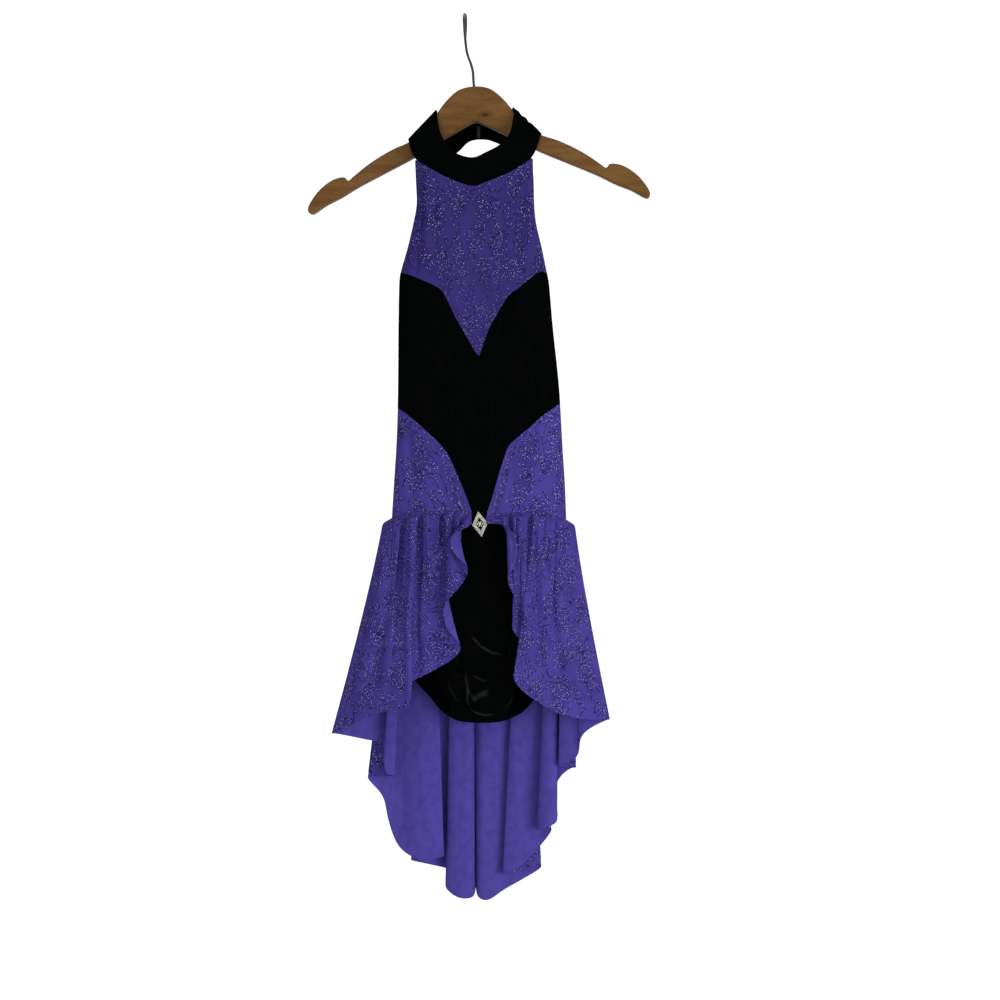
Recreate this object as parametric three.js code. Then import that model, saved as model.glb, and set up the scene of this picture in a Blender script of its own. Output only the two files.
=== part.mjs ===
// A lyrical dance costume on a wooden hanger: a halter leotard in printed stretch knit and black
// velvet, with an open back, a gathered skirt that is open in front and long behind, and a small
// rhinestone brooch. Millimetres, +Z up, +X to the right of someone who looks at the front, which
// faces -Y. The origin is the inside top of the hanger's hook, where a rail carries it.
import * as THREE from "three";

// Walls and seams
const KNIT_WALL = 1.2;
const VELVET_WALL = 1.6;
const COLLAR_WALL = 2.4;
const SEAM_GAP = 0.3;
const COLLAR_CLEAR = 1;
const SKIRT_OVER = 0.6;
const SKIRT_DROP = 0.25;

// Hanger and hook
const HANGER_THICK = 14;
const HANGER_EDGE = 2.5;
const HANGER_TOP = -91.5;
const HANGER_MIDDLE = 12;
const HANGER_YAW = 8;
const HANGER_ROLL = 1.2;
const WIRE = 3.4;
const HOOK_RADIUS = 24.7;

// Brooch
const BROOCH_WIDTH = 20.5;
const BROOCH_HEIGHT = 33.5;
const BROOCH_BAND = 4.6;
const BROOCH_THICK = 2.4;
const BROOCH_CENTRE_HEIGHT = 5.6;
const BROOCH_TILT = 8;
const BROOCH_PLACE = [19.5, -28.15, -653.5];

// Turns round the body, in degrees: 0 left side, 90 centre front, 180 right side, 270 centre back
const LEFT_SEAM = -7;
const RIGHT_SEAM = 131.5;
const SEAM_TURN = 0.25;
const COLUMN_TURN = 7.5;
const ROLLED_EDGE = 5;

// The body's sections as it hangs: silhouette left and right, where the side lies from front to
// back, and how far the front and the back stand out at their middle
const BODY_SECTIONS = [
  { z: -160, left: -64, right: 86, sideLeft: -13, sideRight: -21, front: -34, back: 24 },
  { z: -215, left: -62.5, right: 87, sideLeft: -11, sideRight: -17, front: -34, back: 24 },
  { z: -246, left: -62, right: 88, sideLeft: -8, sideRight: -12, front: -32, back: 24 },
  { z: -269, left: -66, right: 91, sideLeft: -6, sideRight: -8, front: -30, back: 24 },
  { z: -298, left: -73, right: 98, sideLeft: -3, sideRight: -4, front: -28, back: 25 },
  { z: -331, left: -82.5, right: 105, sideLeft: 0, sideRight: 0, front: -26, back: 25 },
  { z: -345, left: -84, right: 107.5, sideLeft: 0, sideRight: 0, front: -26, back: 25 },
  { z: -397, left: -85, right: 112, sideLeft: 0, sideRight: 0, front: -26, back: 25 },
  { z: -463, left: -85.5, right: 119, sideLeft: 0, sideRight: 0, front: -26, back: 25 },
  { z: -500, left: -86, right: 122, sideLeft: 0, sideRight: 0, front: -26, back: 25 },
  { z: -554, left: -88, right: 125, sideLeft: 0, sideRight: 0, front: -27, back: 26 },
  { z: -601, left: -91, right: 128, sideLeft: 0, sideRight: 0, front: -27, back: 27 },
  { z: -650, left: -94, right: 130, sideLeft: 0, sideRight: 0, front: -27, back: 27 },
];

// Seam lines drawn on the front: height z at each place x
const COLLAR_SEAM = [
  { x: -64, z: -187 },
  { x: -41, z: -202.5 },
  { x: -17, z: -215.5 },
  { x: 11, z: -224 },
  { x: 30, z: -218 },
  { x: 50, z: -210 },
  { x: 69, z: -199 },
  { x: 86, z: -187 },
];
const SWEETHEART_SEAM = [
  { x: -84, z: -331 },
  { x: -72, z: -335 },
  { x: -56, z: -342 },
  { x: -35, z: -352 },
  { x: -27, z: -360 },
  { x: -12, z: -390 },
  { x: 1, z: -413 },
  { x: 18, z: -442 },
  { x: 30, z: -408 },
  { x: 43, z: -384 },
  { x: 56, z: -363 },
  { x: 69, z: -353 },
  { x: 80, z: -343 },
  { x: 95, z: -331 },
];
const HIP_SEAM = [
  { x: -88, z: -503 },
  { x: -69, z: -517 },
  { x: -50, z: -534 },
  { x: -36, z: -547 },
  { x: -23, z: -562 },
  { x: -14, z: -580 },
  { x: -5, z: -601 },
  { x: 3, z: -621 },
  { x: 10, z: -638.5 },
  { x: 27, z: -640.5 },
  { x: 35, z: -620 },
  { x: 42, z: -595 },
  { x: 49, z: -573 },
  { x: 55, z: -556 },
  { x: 63, z: -547 },
  { x: 81, z: -532 },
  { x: 100, z: -515 },
  { x: 123, z: -498 },
];
const HIP_SEAM_BACK = [
  { x: -87, z: -503 },
  { x: 123, z: -498 },
];
const BACK_TOP = [
  { x: -86, z: -331 },
  { x: -40, z: -352 },
  { x: 12, z: -362 },
  { x: 64, z: -352 },
  { x: 110, z: -331 },
];
const SKIRT_SEAM = [
  { x: -98, z: -646 },
  { x: -90, z: -645.8 },
  { x: -60, z: -638 },
  { x: -20, z: -637 },
  { x: 10, z: -641 },
  { x: 27, z: -643 },
  { x: 60, z: -638 },
  { x: 95, z: -639 },
  { x: 127, z: -647.8 },
  { x: 134, z: -648 },
];
const SKIRT_SEAM_BACK = [
  { x: -98, z: -646 },
  { x: -90, z: -645.8 },
  { x: 18, z: -643 },
  { x: 127, z: -647.8 },
  { x: 134, z: -648 },
];

// The collar, a double band: its rim above and its base below at stations round the neck, which
// start on the left arm of the hanger and go by the front
const COLLAR_STATIONS = [
  { rimX: -36.5, rimY: 2, rimZ: -120.5, baseX: -73, baseY: 5, baseZ: -158.5 },
  { rimX: -35.5, rimY: -4, rimZ: -131, baseX: -70.5, baseY: -4, baseZ: -170 },
  { rimX: -32, rimY: -14, rimZ: -150, baseX: -63.5, baseY: -13, baseZ: -186 },
  { rimX: -25, rimY: -25, rimZ: -167, baseX: -41, baseY: -29.5, baseZ: -202 },
  { rimX: -11, rimY: -37, rimZ: -184, baseX: -17, baseY: -33, baseZ: -215 },
  { rimX: 11, rimY: -43, rimZ: -191, baseX: 11, baseY: -34, baseZ: -223.5 },
  { rimX: 27, rimY: -41, rimZ: -184, baseX: 30, baseY: -34, baseZ: -217.5 },
  { rimX: 45, rimY: -36, rimZ: -173, baseX: 50, baseY: -33.5, baseZ: -209.5 },
  { rimX: 57, rimY: -30, rimZ: -158, baseX: 69, baseY: -31.5, baseZ: -198.5 },
  { rimX: 61.5, rimY: -24, rimZ: -139, baseX: 85.5, baseY: -23, baseZ: -186.5 },
  { rimX: 63.5, rimY: -20, rimZ: -127, baseX: 94, baseY: -22.5, baseZ: -166 },
  { rimX: 64, rimY: -13, rimZ: -118.5, baseX: 98.5, baseY: -17, baseZ: -151.5 },
  { rimX: 64, rimY: -2, rimZ: -118.5, baseX: 98.5, baseY: -6, baseZ: -151.5 },
  { rimX: 60, rimY: 6, rimZ: -124, baseX: 88, baseY: 5, baseZ: -166 },
  { rimX: 50, rimY: 14, rimZ: -117, baseX: 66, baseY: 17, baseZ: -168 },
  { rimX: 38, rimY: 19, rimZ: -108, baseX: 45, baseY: 26, baseZ: -159 },
  { rimX: 24, rimY: 22, rimZ: -103, baseX: 27, baseY: 31, baseZ: -152 },
  { rimX: 6, rimY: 23, rimZ: -106, baseX: 6, baseY: 31, baseZ: -154 },
  { rimX: -10, rimY: 23, rimZ: -117, baseX: -13, baseY: 28, baseZ: -171 },
  { rimX: -24, rimY: 22, rimZ: -127, baseX: -40, baseY: 25, baseZ: -180 },
  { rimX: -33, rimY: 20, rimZ: -129, baseX: -64, baseY: 24.5, baseZ: -172 },
  { rimX: -36.5, rimY: 13, rimZ: -120.5, baseX: -73, baseY: 18, baseZ: -157 },
];

// The closing tape inside the band: its middle and width as shares of the way round, its top and
// bottom as shares of the band's height, and its thickness
const CLOSURE = { around: 0.748, width: 0.0085, from: 0.66, to: 0.97, thick: 1 };

// The trunk's rows from the skirt seam to the crotch: its leg edges left and right, where those
// lie from front to back, where its middle lies, and how far its middle sags below its edges
const TRUNK_FRONT = [
  { z: -640, left: -90.8, right: 126.8, edge: -0.4, middle: -24.6, sag: 0 },
  { z: -690, left: -90, right: 126, edge: -0.4, middle: -23, sag: 0 },
  { z: -740, left: -87, right: 122, edge: -0.4, middle: -22, sag: 0 },
  { z: -775, left: -79, right: 114, edge: -3, middle: -21.5, sag: 0 },
  { z: -810, left: -60, right: 96, edge: -6, middle: -20.5, sag: 1 },
  { z: -845, left: -39, right: 75, edge: -8, middle: -18, sag: 2 },
  { z: -875, left: -24, right: 61, edge: -8, middle: -14.5, sag: 3 },
  { z: -895, left: -17, right: 56, edge: -7, middle: -10, sag: 5 },
  { z: -902, left: -15, right: 54, edge: -3.4, middle: -3.4, sag: 6 },
];
const TRUNK_BACK = [
  { z: -640, left: -90.8, right: 126.8, edge: 0.4, middle: 24.4, sag: 0 },
  { z: -690, left: -90, right: 126, edge: 0.4, middle: 24.5, sag: 0 },
  { z: -740, left: -87, right: 122, edge: 0.4, middle: 24.5, sag: 0 },
  { z: -775, left: -84, right: 118, edge: 3, middle: 24.5, sag: 0 },
  { z: -815, left: -78, right: 110, edge: 5, middle: 24.5, sag: 1 },
  { z: -850, left: -68, right: 101, edge: 7, middle: 23.5, sag: 4 },
  { z: -872, left: -49, right: 93, edge: 8, middle: 21, sag: 10 },
  { z: -888, left: -34, right: 80, edge: 7, middle: 16, sag: 15 },
  { z: -898, left: -20, right: 62, edge: 4, middle: 8, sag: 12 },
  { z: -902, left: -15, right: 54, edge: -0.6, middle: -0.6, sag: 6 },
];

// The skirt's hem, fold by fold, with the turn at which each place is sewn to the seam
const SKIRT_LEFT_FOLDS = [
  { turn: 87.3, x: 9, y: -31, z: -653 },
  { turn: 86.9, x: 5, y: -45, z: -656 },
  { turn: 86.4, x: -3, y: -55, z: -660 },
  { turn: 85.9, x: -11, y: -60, z: -665 },
  { turn: 85.3, x: -17, y: -58, z: -671 },
  { turn: 83.8, x: -13, y: -52, z: -690 },
  { turn: 81.5, x: 5, y: -47, z: -709 },
  { turn: 77, x: -5, y: -44, z: -732 },
  { turn: 71, x: -26, y: -43, z: -757 },
  { turn: 69, x: -22, y: -38, z: -786 },
  { turn: 66, x: -3, y: -34, z: -812 },
  { turn: 61, x: -38, y: -30, z: -839 },
  { turn: 56, x: -79, y: -26, z: -862 },
  { turn: 51, x: -68, y: -40, z: -882 },
  { turn: 40, x: -91, y: -36, z: -889 },
  { turn: 25, x: -123, y: -26, z: -898 },
  { turn: 12, x: -148, y: -16, z: -914 },
  { turn: 2, x: -167, y: -9.7, z: -921 },
  { turn: 0.6, x: -170, y: -7.3, z: -922.5 },
];
const SKIRT_BACK_FOLDS = [
  { turn: 359.4, x: -170, y: -6, z: -922.5 },
  { turn: 358, x: -167, y: -3.6, z: -923 },
  { turn: 352, x: -146, y: 5, z: -930 },
  { turn: 345, x: -118, y: 11, z: -948 },
  { turn: 338, x: -91, y: 14, z: -980 },
  { turn: 333, x: -108, y: 21, z: -983 },
  { turn: 328, x: -129, y: 27, z: -984 },
  { turn: 323, x: -108, y: 32, z: -1010 },
  { turn: 318, x: -101, y: 34, z: -1043 },
  { turn: 312, x: -86, y: 34, z: -1079 },
  { turn: 307, x: -56, y: 27, z: -1093 },
  { turn: 302.5, x: -27, y: 31, z: -1088 },
  { turn: 298, x: -50, y: 41, z: -1094 },
  { turn: 294, x: -74, y: 46, z: -1097 },
  { turn: 290, x: -45, y: 56, z: -1106 },
  { turn: 286.5, x: -14, y: 61, z: -1117 },
  { turn: 282.5, x: -29, y: 50, z: -1131 },
  { turn: 279, x: -10, y: 39, z: -1146 },
  { turn: 274.5, x: 8, y: 43, z: -1145 },
  { turn: 271, x: 13, y: 58, z: -1131 },
  { turn: 267.5, x: 19, y: 43, z: -1145 },
  { turn: 262, x: 28, y: 38, z: -1149 },
  { turn: 256, x: 50, y: 46, z: -1136 },
  { turn: 250, x: 76, y: 52, z: -1123 },
  { turn: 244, x: 101, y: 48, z: -1106 },
  { turn: 240, x: 74, y: 41, z: -1108 },
  { turn: 236, x: 47, y: 34, z: -1115 },
  { turn: 231, x: 70, y: 28, z: -1103 },
  { turn: 226, x: 99, y: 33, z: -1074 },
  { turn: 221.5, x: 113, y: 28, z: -1052 },
  { turn: 217, x: 92, y: 19, z: -1053 },
  { turn: 212, x: 107, y: 11, z: -1046 },
  { turn: 208, x: 119, y: 15, z: -1040 },
  { turn: 204, x: 115, y: 26, z: -1014 },
  { turn: 200, x: 121, y: 25, z: -987 },
  { turn: 197, x: 137, y: 21, z: -972 },
  { turn: 194, x: 144, y: 14, z: -970 },
  { turn: 191, x: 118, y: 8, z: -966 },
  { turn: 187, x: 144, y: 1, z: -955 },
  { turn: 184, x: 149, y: -4, z: -925 },
  { turn: 182, x: 181.5, y: -8.7, z: -905 },
  { turn: 180.6, x: 184.5, y: -11.2, z: -904 },
];
const SKIRT_RIGHT_FOLDS = [
  { turn: 179.4, x: 184.5, y: -12.6, z: -904 },
  { turn: 178, x: 181.5, y: -15, z: -903.5 },
  { turn: 170, x: 157, y: -18, z: -903 },
  { turn: 161, x: 139, y: -23, z: -900 },
  { turn: 151, x: 118, y: -28, z: -894 },
  { turn: 142, x: 102, y: -32, z: -885 },
  { turn: 134, x: 89, y: -36, z: -876 },
  { turn: 128, x: 77, y: -40, z: -867 },
  { turn: 123, x: 61, y: -44, z: -846 },
  { turn: 119, x: 71, y: -35, z: -826 },
  { turn: 115, x: 73, y: -30, z: -806 },
  { turn: 111, x: 60, y: -34, z: -785 },
  { turn: 108, x: 65, y: -38, z: -763 },
  { turn: 105, x: 63, y: -42, z: -742 },
  { turn: 102.5, x: 57, y: -45, z: -723 },
  { turn: 100.5, x: 66, y: -49, z: -697 },
  { turn: 98, x: 64, y: -51, z: -670 },
  { turn: 96, x: 54, y: -50, z: -655 },
  { turn: 92.5, x: 28, y: -31, z: -653 },
];
const SKIRT_ROWS = [0, 0.02, 0.06, 0.13, 0.23, 0.36, 0.5, 0.66, 0.83, 1];
const SOFT_AT_HEM = 0.5;
const SOFT_AT_SEAM = 2.1;
const SOFT_TAPS = [
  { at: -1, share: 1 / 9 },
  { at: -0.5, share: 2 / 9 },
  { at: 0, share: 3 / 9 },
  { at: 0.5, share: 2 / 9 },
  { at: 1, share: 1 / 9 },
];
const BEND_WORTH = 6;
const PUFF = 9.5;
const PUFF_RISE = 5;
const PUFF_FALL = 110;
const PUFF_DROP = 60;

// Gather valleys at the seam: their turn, depth and width
const GATHERS = [
  { turn: 37.6, depth: 4, width: 2.6 },
  { turn: 54, depth: 3, width: 2.2 },
  { turn: 70, depth: 3.4, width: 2 },
  { turn: 77.7, depth: 2.6, width: 1.8 },
  { turn: 83.5, depth: 6, width: 2 },
  { turn: 105, depth: 3, width: 2 },
  { turn: 120.4, depth: 4, width: 2.6 },
  { turn: 146, depth: 2.6, width: 2.4 },
  { turn: 206, depth: 3.4, width: 3 },
  { turn: 228, depth: 3, width: 2.6 },
  { turn: 247, depth: 3.6, width: 2.4 },
  { turn: 263, depth: 3, width: 2.2 },
  { turn: 281, depth: 3.4, width: 2.4 },
  { turn: 299, depth: 3, width: 2.6 },
  { turn: 318, depth: 3.6, width: 2.8 },
  { turn: 336, depth: 3, width: 3 },
];

// The right half of the hanger's outline in its own frame: u out along the arm, w up from the
// top of its hump. The left half mirrors it.
const HANGER_OUTLINE = [
  { u: 20, w: -3.8 },
  { u: 36, w: -16.5 },
  { u: 48, w: -31 },
  { u: 53, w: -38 },
  { u: 68, w: -55 },
  { u: 86, w: -67 },
  { u: 108, w: -75.5 },
  { u: 132, w: -88 },
  { u: 146, w: -97 },
  { u: 160, w: -107.5 },
  { u: 168, w: -113 },
  { u: 172.5, w: -108.5 },
  { u: 187, w: -110.5 },
  { u: 203, w: -120.5 },
  { u: 215, w: -133.5 },
  { u: 222.5, w: -148 },
  { u: 219, w: -153.5 },
  { u: 198, w: -142.5 },
  { u: 178, w: -133.5 },
  { u: 157, w: -122 },
  { u: 112, w: -101 },
  { u: 80, w: -86 },
  { u: 41, w: -65 },
  { u: 8, w: -48 },
];

// The hook's stem above the hump, to where its round bend starts
const HOOK_STEM = [
  { x: 11.5, y: 0, z: -91.2 },
  { x: 10.8, y: 0, z: -82 },
  { x: 10, y: 0.5, z: -71 },
  { x: 7.5, y: 5, z: -60 },
  { x: 4, y: 13, z: -49 },
];
const HOOK_BEND_FROM = -38;
const HOOK_BEND_TO = 205;
const HOOK_BEND_STEPS = 14;
const HOOK_LEAN = [1.5, -1, -1.5, 1.5, 1];

// Colours of the pieces, seen plain
const material = (color, roughness, metalness = 0) =>
  new THREE.MeshStandardMaterial({ color, roughness, metalness, side: THREE.FrontSide });
const printedKnit = () => material(0x5a45b8, 0.75);
const blackVelvet = () => material(0x0b0a10, 0.9);
const warmWood = () => material(0xb98550, 0.5);
const darkSteel = () => material(0x5d5f63, 0.35, 0.9);
const clearStone = () => material(0xd9dadd, 0.2, 0.4);
const greyTape = () => material(0x8d9096, 0.8);

const radians = THREE.MathUtils.degToRad;

// A smooth reading of one column of a table at a place along another
function smoothAt(rows, along, at, column) {
  const last = rows.length - 1;
  const rising = rows[last][along] > rows[0][along];
  const ahead = (k) => (rising ? rows[k][along] < at : rows[k][along] > at);
  let k = 0;
  while (k < last - 1 && ahead(k + 1)) k += 1;
  const before = rows[Math.max(k - 1, 0)];
  const after = rows[Math.min(k + 2, last)];
  const a = rows[k];
  const b = rows[k + 1];
  const span = b[along] - a[along];
  const t = THREE.MathUtils.clamp((at - a[along]) / span, 0, 1);
  const slopeA = (b[column] - before[column]) / (b[along] - before[along]);
  const slopeB = (after[column] - a[column]) / (after[along] - a[along]);
  const t2 = t * t;
  const t3 = t2 * t;
  return (2 * t3 - 3 * t2 + 1) * a[column] + (t3 - 2 * t2 + t) * span * slopeA
    + (3 * t2 - 2 * t3) * b[column] + (t3 - t2) * span * slopeB;
}

// The straight-line height of a seam at x, and its slope there
function seamAt(rows, x) {
  const last = rows.length - 1;
  let k = 0;
  while (k < last - 1 && rows[k + 1].x < x) k += 1;
  const slope = (rows[k + 1].z - rows[k].z) / (rows[k + 1].x - rows[k].x);
  const inside = THREE.MathUtils.clamp(x, rows[0].x, rows[last].x);
  return { z: rows[k].z + slope * (inside - rows[k].x), slope };
}

// A signed power, for the body's flattened round section
const flattened = (value) => Math.sign(value) * Math.abs(value) ** 0.8;

// A point on the body at a turn and a height, moved out by a distance in plan
function bodyPoint(turn, z, out = 0) {
  const row = {};
  for (const column of ["left", "right", "sideLeft", "sideRight", "front", "back"]) {
    row[column] = smoothAt(BODY_SECTIONS, "z", z, column);
  }
  const plan = (degrees) => {
    const across = flattened(Math.cos(radians(degrees)));
    const depth = flattened(Math.sin(radians(degrees)));
    const side = THREE.MathUtils.lerp(row.sideRight, row.sideLeft, (1 + across) / 2);
    const reach = depth > 0 ? row.front - side : side - row.back;
    const half = (row.right - row.left) / 2;
    return new THREE.Vector2((row.left + row.right) / 2 - half * across, side + depth * reach);
  };
  const here = plan(turn);
  if (out !== 0) {
    const way = plan(turn + 0.5).sub(plan(turn - 0.5)).normalize();
    here.add(new THREE.Vector2(way.y, -way.x).multiplyScalar(out));
  }
  return new THREE.Vector3(here.x, here.y, z);
}

// The height at which a turn round the body crosses a seam line, kept half a seam gap clear
function heightAt(rows, turn, side) {
  let z = rows[0].z;
  let found = seamAt(rows, bodyPoint(turn, z).x);
  for (let pass = 0; pass < 12; pass += 1) {
    z = (z + found.z) / 2;
    found = seamAt(rows, bodyPoint(turn, z).x);
  }
  const steep = Math.min(Math.hypot(1, found.slope), 3);
  return z + (side * steep * SEAM_GAP) / 2;
}

// A closed wall of cloth from a grid of places: across by column, down by row
function clothWall(columns, rows, place, thickness, ring = false) {
  const step = 1e-3;
  const positions = [];
  const faces = [];
  const count = columns.length;
  const total = count * rows.length;
  const layer = [0.5, -0.5];
  for (const side of layer) {
    for (const v of rows) {
      for (const u of columns) {
        const across = place(u + step, v).sub(place(u - step, v));
        const down = place(u, v + step).sub(place(u, v - step));
        const out = down.cross(across).normalize();
        positions.push(...place(u, v).addScaledVector(out, side * thickness).toArray());
      }
    }
  }
  const outer = (i, j) => i * count + (j % count);
  const inner = (i, j) => outer(i, j) + total;
  const quad = (a, b, c, d) => faces.push(a, b, c, a, c, d);
  const spans = ring ? count : count - 1;
  for (let i = 0; i < rows.length - 1; i += 1) {
    for (let j = 0; j < spans; j += 1) {
      quad(outer(i, j), outer(i + 1, j), outer(i + 1, j + 1), outer(i, j + 1));
      quad(inner(i, j), inner(i, j + 1), inner(i + 1, j + 1), inner(i + 1, j));
    }
  }
  const end = rows.length - 1;
  for (let j = 0; j < spans; j += 1) {
    quad(outer(0, j), outer(0, j + 1), inner(0, j + 1), inner(0, j));
    quad(outer(end, j + 1), outer(end, j), inner(end, j), inner(end, j + 1));
  }
  if (!ring) {
    for (let i = 0; i < end; i += 1) {
      quad(outer(i + 1, 0), outer(i, 0), inner(i, 0), inner(i + 1, 0));
      quad(outer(i, count - 1), outer(i + 1, count - 1), inner(i + 1, count - 1), inner(i, count - 1));
    }
  }
  const geometry = new THREE.BufferGeometry();
  geometry.setAttribute("position", new THREE.Float32BufferAttribute(positions, 3));
  geometry.setIndex(faces);
  geometry.computeVertexNormals();
  return geometry;
}

// The height of the skirt's seam at a turn, over its front or its back line
function skirtSeam(turn, side) {
  const front = turn > 0 && turn < 180;
  return heightAt(front ? SKIRT_SEAM : SKIRT_SEAM_BACK, turn, side);
}

const evenly = (count) => Array.from({ length: count + 1 }, (_, k) => k / count);

function named(name, geometry, finish) {
  const mesh = new THREE.Mesh(geometry, finish);
  mesh.name = name;
  return mesh;
}

// A panel of the leotard between two turns and two seam lines
function bodyPanel(name, finish, thickness, from, to, top, bottom, rowCount) {
  const turns = [from];
  const first = Math.ceil((from + 1) / COLUMN_TURN);
  for (let k = first; k * COLUMN_TURN < to - 1; k += 1) turns.push(k * COLUMN_TURN);
  turns.push(to);
  const place = (turn, v) => bodyPoint(turn, THREE.MathUtils.lerp(top(turn), bottom(turn), v));
  return named(name, clothWall(turns, evenly(rowCount), place, thickness), finish);
}

function leotard() {
  const below = (rows) => (turn) => heightAt(rows, turn, -1);
  const above = (rows) => (turn) => heightAt(rows, turn, 1);
  const backHip = (side) => (turn) => heightAt(turn < 180 ? HIP_SEAM : HIP_SEAM_BACK, turn, side);
  const skirtTop = (turn) => skirtSeam(turn, 1);
  const backTop = (turn) => heightAt(turn < 180 ? SWEETHEART_SEAM : BACK_TOP, turn, -1);
  const leftStart = LEFT_SEAM + SEAM_TURN;
  const rightStop = RIGHT_SEAM - SEAM_TURN;
  const backStart = RIGHT_SEAM + SEAM_TURN;
  const backStop = 360 + LEFT_SEAM - SEAM_TURN;
  const hipTipLeft = 87.4;
  const hipTipRight = 93;
  return [
    bodyPanel("halter_front", printedKnit(), KNIT_WALL, -ROLLED_EDGE, 180 + ROLLED_EDGE,
      (turn) => heightAt(COLLAR_SEAM, turn, -1) - COLLAR_CLEAR, above(SWEETHEART_SEAM), 9),
    bodyPanel("midriff_front", blackVelvet(), VELVET_WALL, leftStart, rightStop,
      below(SWEETHEART_SEAM), above(HIP_SEAM), 8),
    bodyPanel("hip_left", printedKnit(), KNIT_WALL, leftStart, hipTipLeft,
      below(HIP_SEAM), skirtTop, 5),
    bodyPanel("hip_right", printedKnit(), KNIT_WALL, hipTipRight, rightStop,
      below(HIP_SEAM), skirtTop, 5),
    bodyPanel("back_bodice", blackVelvet(), VELVET_WALL, backStart, backStop,
      backTop, backHip(1), 6),
    bodyPanel("hip_back", printedKnit(), KNIT_WALL, backStart, backStop,
      backHip(-1), skirtTop, 5),
  ];
}

// One panel of the trunk, from the skirt seam down to the crotch
function trunkPanel(name, rows, facing, columnCount) {
  const last = rows.length - 1;
  const indexed = rows.map((row, index) => ({ ...row, index }));
  const place = (u, v) => {
    const at = v * last;
    const read = (column) => smoothAt(indexed, "index", at, column);
    const turn = Math.PI * u;
    const bulge = Math.max(Math.sin(turn), 0) ** 0.8;
    const across = flattened(Math.cos(turn));
    const half = (read("right") - read("left")) / 2;
    const x = (read("right") + read("left")) / 2 - facing * half * across;
    const y = read("edge") + (read("middle") - read("edge")) * bulge;
    return new THREE.Vector3(x, y, read("z") - read("sag") * bulge);
  };
  const down = evenly(rows.length + 2);
  return named(name, clothWall(evenly(columnCount), down, place, VELVET_WALL), blackVelvet());
}

// Places on the collar: once round the neck by u, and from rim to base by v
const collarCurve = (x, y, z) => new THREE.CatmullRomCurve3(
  COLLAR_STATIONS.map((row) => new THREE.Vector3(row[x], row[y], row[z])), true);
const collarRim = collarCurve("rimX", "rimY", "rimZ");
const collarBase = collarCurve("baseX", "baseY", "baseZ");
function collarPoint(u, v) {
  const around = ((u % 1) + 1) % 1;
  return collarRim.getPoint(around).lerp(collarBase.getPoint(around), v);
}

function collarRing() {
  const columns = evenly(COLLAR_STATIONS.length * 2).slice(0, -1);
  return named("collar", clothWall(columns, evenly(5), collarPoint, COLLAR_WALL, true), blackVelvet());
}

// The closing tape on the inside of the band, at the nape
function collarClosure() {
  const { around, width, from, to, thick } = CLOSURE;
  const inset = COLLAR_WALL / 2 + SEAM_GAP * 1.7 + thick / 2;
  const place = (u, v) => {
    const at = around + (u - 0.5) * width;
    const down = THREE.MathUtils.lerp(from, to, v);
    return collarPoint(at, down).add(new THREE.Vector3(0, -inset, 0));
  };
  return named("collar_closure", clothWall(evenly(2), evenly(3), place, thick), greyTape());
}

// How far the gathers draw the skirt in at a turn
const gatherAt = (turn) => GATHERS.reduce(
  (sum, row) => sum - row.depth * Math.exp(-(((turn - row.turn) / row.width) ** 2)), 0);

// A folded hem that softens as it is read nearer the seam, where cloth can't bend so sharply
function foldedHem(folds) {
  const curve = new THREE.CatmullRomCurve3(folds.map((row) => new THREE.Vector3(row.x, row.y, row.z)));
  const spans = folds.length - 1;
  return (u, v) => {
    const wanted = (SOFT_AT_HEM + SOFT_AT_SEAM * (1 - v)) / spans;
    const reach = Math.min(wanted, u, 1 - u);
    const point = new THREE.Vector3();
    for (const { at, share } of SOFT_TAPS) {
      point.addScaledVector(curve.getPoint(THREE.MathUtils.clamp(u + at * reach, 0, 1)), share);
    }
    return point;
  };
}

// Columns that lie closer together where the hem turns
function columnsAlong(hem, count) {
  const fine = count * 12;
  const points = evenly(fine).map((u) => hem(u, 1));
  const sums = [0];
  for (let k = 1; k <= fine; k += 1) {
    const ahead = points[Math.min(k + 1, fine)].clone().sub(points[k]);
    const behind = points[k].clone().sub(points[k - 1]);
    const bend = ahead.lengthSq() > 0 ? ahead.angleTo(behind) : 0;
    sums.push(sums[k - 1] + behind.length() + bend * BEND_WORTH);
  }
  let k = 0;
  return evenly(count).map((share) => {
    while (k < fine - 1 && sums[k + 1] < share * sums[fine]) k += 1;
    const t = (share * sums[fine] - sums[k]) / (sums[k + 1] - sums[k]);
    return (k + Math.min(t, 1)) / fine;
  });
}

// A stretch of the skirt, from the seam to its folded hem
function skirtPanel(name, folds, columnCount) {
  const hem = foldedHem(folds);
  const last = folds.length - 1;
  const place = (u, v) => {
    const inside = THREE.MathUtils.clamp(u, 0, 1);
    const k = Math.min(Math.floor(inside * last), last - 1);
    const turn = THREE.MathUtils.lerp(folds[k].turn, folds[k + 1].turn, inside * last - k);
    const ringZ = skirtSeam(turn, -1) - SKIRT_DROP;
    const seam = bodyPoint(turn, ringZ, SKIRT_OVER);
    const drop = ringZ - hem(inside, 1).z;
    const down = Math.max(v, 0) * drop;
    const fullness = Math.min(drop / PUFF_DROP, 1);
    const puff = fullness * (1 - Math.exp(-((down / PUFF_RISE) ** 2))) * Math.exp(-down / PUFF_FALL);
    const out = bodyPoint(turn, ringZ, SKIRT_OVER + 1).sub(seam);
    const point = seam.lerp(hem(inside, Math.min(v, 1)), v);
    return point.addScaledVector(out, puff * (PUFF + gatherAt(turn)));
  };
  return named(name, clothWall(columnsAlong(hem, columnCount), SKIRT_ROWS, place, KNIT_WALL), printedKnit());
}

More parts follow.
